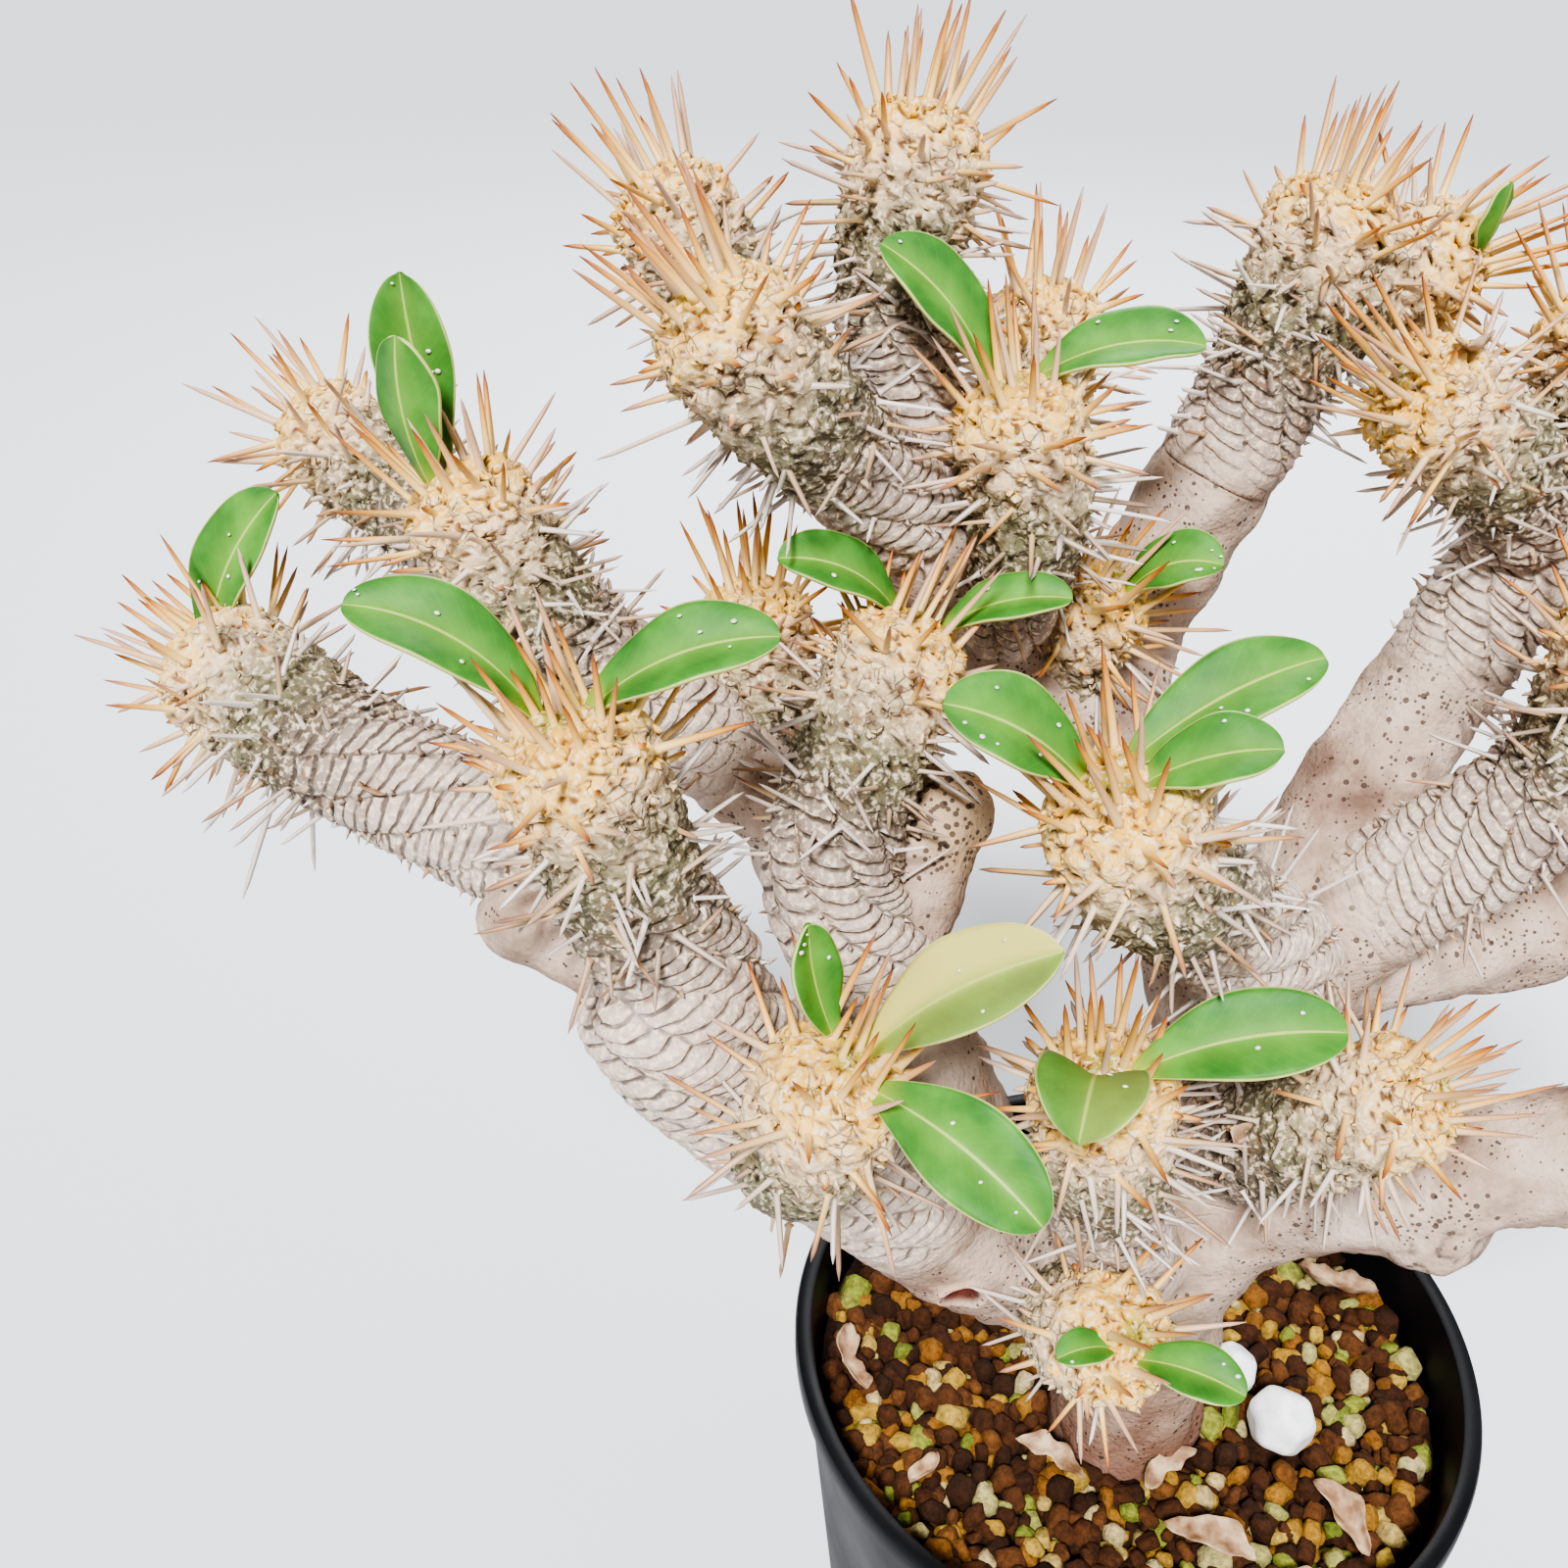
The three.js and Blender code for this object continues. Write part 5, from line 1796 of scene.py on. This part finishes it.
    def refine(self, mesh: Mesh) -> None:
        """Divides the faces round the wrinkled and hollow places, which need smaller ones.

        Args:
            mesh: The fused limbs, which are changed.
        """
        shape = bmesh.new()
        shape.from_mesh(mesh)
        for mark in BLEMISHES:
            if not (mark.hollow or mark.wrinkled):
                continue
            centre = Vector(mark.centre) * MM
            near = {c for c in shape.verts if (c.co - centre).length < 1.25 * mark.radius * MM}
            edges = [e for e in shape.edges if all(c in near for c in e.verts)]
            bmesh.ops.subdivide_edges(shape, edges=edges, cuts=1 if mark.wrinkled else 3, use_grid_fill=True)
        shape.to_mesh(mesh)
        shape.free()

    def build_leaves(self) -> None:
        """Makes a piece for each leaf, with its white dots."""
        for number, leaf in LEAVES.items():
            name = f"leaf_{number:02d}"
            piece = Assembly(name)
            base = self.leaf_base(leaf)
            piece.add(leaf.blade(base), self.finishes.leaf)
            for dot in leaf.dots(base, seed=60 + number):
                piece.add(dot, self.finishes.dot)
            piece.finish("leaf", (name,))


# The pot and what lies in it


@dataclass
class Pot:
    """A round tapered pot with a lip and drain holes, as a full spin of its section."""

    material: Material
    height: float = 110.0
    rim_radius: float = 60.0  # to the outside of the lip
    lip_height: float = 5.0
    lip_overhang: float = 1.4  # how far the lip stands out past the wall
    base_radius: float = 49.5
    wall: float = 1.8
    floor: float = 2.5  # the thickness of its floor
    drain_holes: int = 8
    drain_radius: float = 3.0
    drain_circle: float = 38.0  # how far the holes lie from the axis
    steps: int = 160  # how many faces go round the wall

    def outer(self, z: float) -> float:
        """The outer radius at a height."""
        return self.base_radius + (self.rim_radius - self.lip_overhang - self.base_radius) * z / self.height

    def section(self) -> list[tuple[float, float]]:
        """The wall's section, from the middle of the underside to that of the floor.

        Returns:
            Its corners, each a radius and a height.
        """
        rim, top, floor = self.rim_radius, self.height, self.floor
        under = top - self.lip_height
        inner = self.outer(top) - self.wall
        return [
            (0, 0), (self.outer(0) - 1.5, 0), (self.outer(0) - 0.45, 0.4), (self.outer(1.6), 1.6),
            (self.outer(under - 0.6), under - 0.6), (self.outer(under) + 0.3, under),
            (rim - 0.2, under + 0.4), (rim, under + 0.9), (rim, top - 0.9), (rim - 0.3, top - 0.3),
            (rim - 0.9, top), (inner + 0.7, top), (inner + 0.2, top - 0.25), (inner, top - 0.8),
            (self.outer(floor + 2) - self.wall, floor + 2), (self.outer(floor) - self.wall - 2, floor),
            (0, floor),
        ]

    def build(self) -> None:
        """Spins the wall, bores the drain holes and dresses the pot."""
        body = placed("pot_body", spun(self.section(), self.steps))
        drill_shape = bmesh.new()
        for k in range(self.drain_holes):
            angle = math.tau * k / self.drain_holes
            spot = Vector((math.cos(angle), math.sin(angle), 0)) * self.drain_circle * MM
            bmesh.ops.create_cone(
                drill_shape, cap_ends=True, segments=24, radius1=self.drain_radius * MM,
                radius2=self.drain_radius * MM, depth=4 * self.floor * MM, matrix=Matrix.Translation(spot),
            )
        drill = placed("drill", stored(drill_shape, "drill", smooth=False))
        bore = body.modifiers.new("bore", "BOOLEAN")
        bore.operation = "DIFFERENCE"
        bore.solver = "EXACT"
        bore.object = drill
        bored = bpy.data.meshes.new_from_object(body.evaluated_get(bpy.context.evaluated_depsgraph_get()))
        for holder in (body, drill):
            bpy.data.objects.remove(holder)
        piece = Assembly("pot")
        piece.add(bored, self.material)
        made = piece.finish("pot", ("pot",))
        made.data.set_sharp_from_angle(angle=math.radians(35))


@dataclass
class Soil:
    """Gritty soil: a rough body that fills the pot, and loose grains that cover it."""

    finishes: Finishes
    pot: Pot
    top: float = 96.5  # the height of its level top
    foot: float = 2.8  # the height of its underside, just clear of the pot's floor
    stem: tuple[float, float, float] = (-1, -8, 13.6)  # where the stem stands, and its radius
    pellets: tuple = ((25, -14, 6.2), (19, -3, 4.9))  # where each pellet lies, and its radius
    spacing: float = 3.3  # about how far apart the grains lie
    row_step: float = 0.866  # the distance between two rows of grains, as a share of the spacing
    seed: int = 7

    def grain(self, draw: random.Random) -> Mesh:
        """Makes a grain about 1 across: a cube pushed out of true, with its edges worn off.

        Args:
            draw: What shapes it.

        Returns:
            The grain.
        """
        shape = bmesh.new()
        bmesh.ops.create_cube(shape, size=1.0)
        for corner in shape.verts:
            corner.co += Vector([draw.uniform(-0.17, 0.17) for _ in range(3)])
        bmesh.ops.bevel(
            shape, geom=shape.edges[:], offset=0.2, offset_type="OFFSET", affect="EDGES", segments=1,
            profile=0.5, material=-1,
        )
        return stored(shape, "grain")

    def spots(self, spacing: float, draw: random.Random) -> list[tuple[float, float]]:
        """Scattered places for grains, clear of the stem, the pellets and the wall.

        Args:
            spacing: About how far apart they lie.
            draw: What scatters them.

        Returns:
            Their x and y.
        """
        reach = self.pot.outer(self.top) - self.pot.wall - 2.2
        rows = int(2 * reach / (spacing * self.row_step)) + 2
        found = []
        for r in range(-rows // 2, rows // 2 + 1):
            for c in range(-rows // 2, rows // 2 + 1):
                x = (c + 0.5 * (r % 2)) * spacing + draw.uniform(-0.25, 0.25) * spacing
                y = r * spacing * self.row_step + draw.uniform(-0.25, 0.25) * spacing
                taken = [self.stem, *((px, py, pr * 0.75) for px, py, pr in self.pellets)]
                clear = all(math.hypot(x - a, y - b) > radius + 1 for a, b, radius in taken)
                if clear and math.hypot(x, y) < reach:
                    found.append((x, y))
        return found

    def build(self) -> None:
        """Makes the body of the soil and its grains in one piece."""
        draw = random.Random(self.seed)
        piece = Assembly("soil")
        for corner in piece.add(self.body(), self.finishes.clay):
            corner[piece.layers["tone"]] = 0.05
        grains = [self.grain(draw) for _ in range(6)]
        for spacing, low, high in ((self.spacing, -0.9, 0.5), (self.spacing * 1.25, 0.9, 2.0)):
            for x, y in self.spots(spacing, draw):
                size = draw.uniform(2.4, 5.2)
                sizes = (size, size * draw.uniform(0.65, 1.0), size * draw.uniform(0.55, 0.9), 1)
                turn = Euler([draw.uniform(0, math.tau) for _ in range(3)]).to_matrix().to_4x4()
                place = Matrix.Translation((x, y, self.top + draw.uniform(low, high))) @ turn
                place = place @ Matrix.Diagonal(sizes)
                tone = draw.random() ** 1.2
                for corner in piece.add(draw.choice(grains), self.finishes.clay):
                    corner[piece.layers["tone"]] = tone
                    corner.co = (place @ corner.co) * MM
        piece.finish("soil", ("soil",))

    def body(self) -> Mesh:
        """Makes the body of the soil, as a full spin of half its section.

        Returns:
            The closed mesh.
        """
        edge = self.pot.outer(self.top) - self.pot.wall - 0.6
        foot = self.pot.outer(self.foot) - self.pot.wall - 2.6
        section = [(0, self.foot), (foot, self.foot), (edge, self.top - 1.2)]
        section += [(edge * share, self.top - 0.9) for share in (0.8, 0.6, 0.4, 0.2, 0)]
        return spun(section, steps=72)


@dataclass
class Pellets:
    """Two white pellets on the soil, each a twelve-sided lump with soft edges."""

    material: Material
    names: tuple[str, ...] = ("pellet_large", "pellet_small")
    soft_edge: float = 0.2  # how wide its rounded edges are, as a share of its radius

    def build(self) -> None:
        """Makes each pellet in its packed place: the hull round the middles of an icosahedron's faces."""
        for number, name in enumerate(self.names):
            low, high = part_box(name)
            radius = (high - low).x / 2
            seedling = bmesh.new()
            bmesh.ops.create_icosphere(seedling, subdivisions=1, radius=1.0)
            middles = [face.calc_center_median().normalized() for face in seedling.faces]
            seedling.free()
            shape = bmesh.new()
            for middle in middles:
                shape.verts.new(middle * radius * 1.06)
            bmesh.ops.convex_hull(shape, input=shape.verts[:])
            bmesh.ops.dissolve_limit(
                shape, angle_limit=math.radians(5), verts=shape.verts[:], edges=shape.edges[:]
            )
            bmesh.ops.bevel(
                shape, geom=shape.edges[:], offset=radius * self.soft_edge, offset_type="OFFSET",
                affect="EDGES", segments=5, profile=0.5, material=-1,
            )
            bmesh.ops.recalc_face_normals(shape, faces=shape.faces)
            turn = Euler((0.5 + 1.1 * number, 0.35, 0.3 + number)).to_matrix()
            bmesh.ops.rotate(shape, verts=shape.verts, cent=(0, 0, 0), matrix=turn)
            bmesh.ops.translate(shape, vec=(low + high) / 2, verts=shape.verts)
            piece = Assembly(name)
            piece.add(stored(shape, name, smooth=False), self.material)
            piece.finish("pellet", (name,))


@dataclass(frozen=True)
class DryBit:
    """A crumpled scrap of a dry leaf.

    Attributes:
        middle: Where its middle lies.
        heading: The way it points, in degrees.
        slope: How far it points down, in degrees.
        length: From end to end.
        width: From side to side.
    """

    middle: tuple[float, float, float]
    heading: float
    slope: float
    length: float
    width: float

    def mesh(self, seed: int) -> Mesh:
        """Crumples a small grid and gives it a thickness.

        Args:
            seed: What makes its folds its own.

        Returns:
            The scrap as a closed mesh.
        """
        shape = bmesh.new()
        bmesh.ops.create_grid(shape, x_segments=16, y_segments=6, size=1.0)
        flat = np.array([(c.co.x * self.length / 2, c.co.y * self.width / 2, 0.0) for c in shape.verts])
        folds = 0.55 * ripple(flat, 5.0, seed) + 0.3 * ripple(flat, 2.4, seed + 1)
        frays = 1 + 0.3 * ripple(flat * (1, 0, 0), 3.5, seed + 2)
        curl = 0.5 + 0.25 * (seed % 4)
        for corner, fold, fray in zip(shape.verts, folds, frays):
            along, across = corner.co.x, corner.co.y
            half = self.width / 2 * max(0.08, math.cos(along * math.pi / 2) ** 0.55) * max(0.4, fray)
            lift = curl * across**2 * half * 0.7 + 0.9 * along**2 + 0.6 * fold
            bent = across * half + 0.12 * self.length * math.sin(1.7 * along + seed)
            corner.co = Vector((along * self.length / 2, bent, lift))
        bmesh.ops.solidify(shape, geom=shape.faces[:], thickness=0.25)
        bmesh.ops.recalc_face_normals(shape, faces=shape.faces)
        turn = Matrix.Rotation(math.radians(self.heading), 4, "Z")
        turn = turn @ Matrix.Rotation(math.radians(self.slope), 4, "Y")
        turn = turn @ Matrix.Rotation(0.35 * math.sin(seed), 4, "X")
        bmesh.ops.transform(shape, matrix=Matrix.Translation(self.middle) @ turn, verts=shape.verts)
        bmesh.ops.scale(shape, vec=(MM, MM, MM), verts=shape.verts)
        return stored(shape, "bit")


@dataclass(frozen=True)
class Litter:
    """Dry leaf bits, on the soil and caught among the spines."""

    material: Material
    on_soil: tuple[DryBit, ...] = (
        DryBit((44, 16.7, 101.3), -25, 0, 15, 6), DryBit((-49, 0, 101.3), 100, 0, 14, 5),
        DryBit((-16, -20, 101.3), 150, 0, 13, 4), DryBit((4, -22, 101.3), 28, 0, 12, 4.2),
        DryBit((31, -31, 101.3), 120, 0, 14, 4.6), DryBit((8, -35, 101.3), -35, 0, 15, 5),
        DryBit((14, 24, 101.3), 70, 0, 10, 4), DryBit((-24, 30, 101.3), 20, 0, 11, 4),
        DryBit((-38, -22, 101.0), 60, 0, 7, 3), DryBit((20, -42, 101.0), 5, 0, 7, 3),
    )
    on_plant: tuple[DryBit, ...] = (
        DryBit((29, 25.5, 280.3), 60, 20, 7, 5), DryBit((4.4, -22.8, 179.2), -20, 52, 12, 6),
        DryBit((-116.6, -7.7, 232), 20, 30, 4, 3),
    )

    def build(self) -> None:
        """Makes a piece of the bits on the soil, and one of those on the plant."""
        pieces = (("dry_leaf_bits", "soil", self.on_soil), ("dry_scraps", "leaf", self.on_plant))
        for name, slot, bits in pieces:
            piece = Assembly(name)
            for number, bit in enumerate(bits):
                piece.add(bit.mesh(11 + 3 * number), self.material)
            piece.finish(slot)


# The studio


class Glow(Enum):
    """The kinds of light, by Blender's names for them."""

    WIDE = "SUN"
    PANEL = "AREA"


@dataclass(frozen=True)
class Lamp:
    """A soft light that points at the middle of the plant.

    Attributes:
        glow: A wide light that falls alike on all of the floor, or a square panel.
        place: Where it hangs, or the side that a wide light comes from.
        size: A panel's width in metres, or a wide light's angle in degrees.
        power: A panel's watts, or a wide light's watts a square metre.
    """

    glow: Glow
    place: tuple[float, float, float]
    size: float
    power: float
    target: tuple[float, float, float] = (-0.02, 0.0, 0.2)

    def build(self, name: str) -> None:
        """Hangs the light.

        Args:
            name: What it is called.
        """
        data = bpy.data.lights.new(name, self.glow.value)
        if self.glow is Glow.WIDE:
            data.angle = math.radians(self.size)
        else:
            data.size = self.size
        data.energy = self.power
        lamp = placed(name, data)
        lamp.location = self.place
        lamp.rotation_euler = (Vector(self.target) - Vector(self.place)).to_track_quat("-Z", "Y").to_euler()


@dataclass(frozen=True)
class Studio:
    """The floor, the lights, and the camera at the photograph's place."""

    camera_place: tuple[float, float, float] = (-0.062, -0.1788, 0.3493)
    camera_pitch: float = 34.1  # degrees below the horizon
    focal_length: float = 36.0  # on a sensor 36 mm wide, for a square picture
    floor_size: float = 12.0
    sky: str = "#e9edf2"
    sky_strength: float = 0.34
    contrast: str = "AgX - High Contrast"
    lamps: tuple[Lamp, ...] = (
        Lamp(Glow.WIDE, (-0.2, -0.76, 1.12), 12.0, 4.9),
        Lamp(Glow.PANEL, (0.9, -0.5, 0.7), 0.8, 2.2),
        Lamp(Glow.PANEL, (0.2, 0.9, 0.9), 0.6, 8.0),
    )

    def build(self) -> None:
        """Sets up the floor, lights and camera."""
        shape = bmesh.new()
        bmesh.ops.create_grid(shape, x_segments=1, y_segments=1, size=self.floor_size / 2)
        mesh = stored(shape, "studio_floor", smooth=False)
        mesh.materials.append(StudioPaper("studio_paper", 0.9).material())
        floor = placed("studio_floor", mesh)
        for number, lamp in enumerate(self.lamps):
            lamp.build(f"lamp_{number}")
        world = bpy.data.worlds.new("sky")
        world.use_nodes = True
        backdrop = world.node_tree.nodes["Background"]
        backdrop.inputs["Color"].default_value = linear(self.sky)
        backdrop.inputs["Strength"].default_value = self.sky_strength
        bpy.context.scene.world = world
        bpy.context.scene.view_settings.look = self.contrast
        data = bpy.data.cameras.new("camera")
        data.lens = self.focal_length
        data.sensor_width = 36.0
        data.clip_start = 0.005
        camera = placed("camera", data)
        camera.location = self.camera_place
        camera.rotation_euler = (math.radians(90 - self.camera_pitch), 0, 0)
        bpy.context.scene.camera = camera


def main() -> None:
    """Builds the studio and every piece."""
    Studio().build()
    finishes = Finishes()
    pot = Pot(finishes.pot)
    pot.build()
    Soil(finishes, pot).build()
    Pellets(finishes.pellet).build()
    Litter(finishes.dry).build()
    plant = Plant(finishes)
    plant.build_leaves()
    plant.build_shoots()
    plant.build_trunk()


if __name__ == "__main__":
    main()
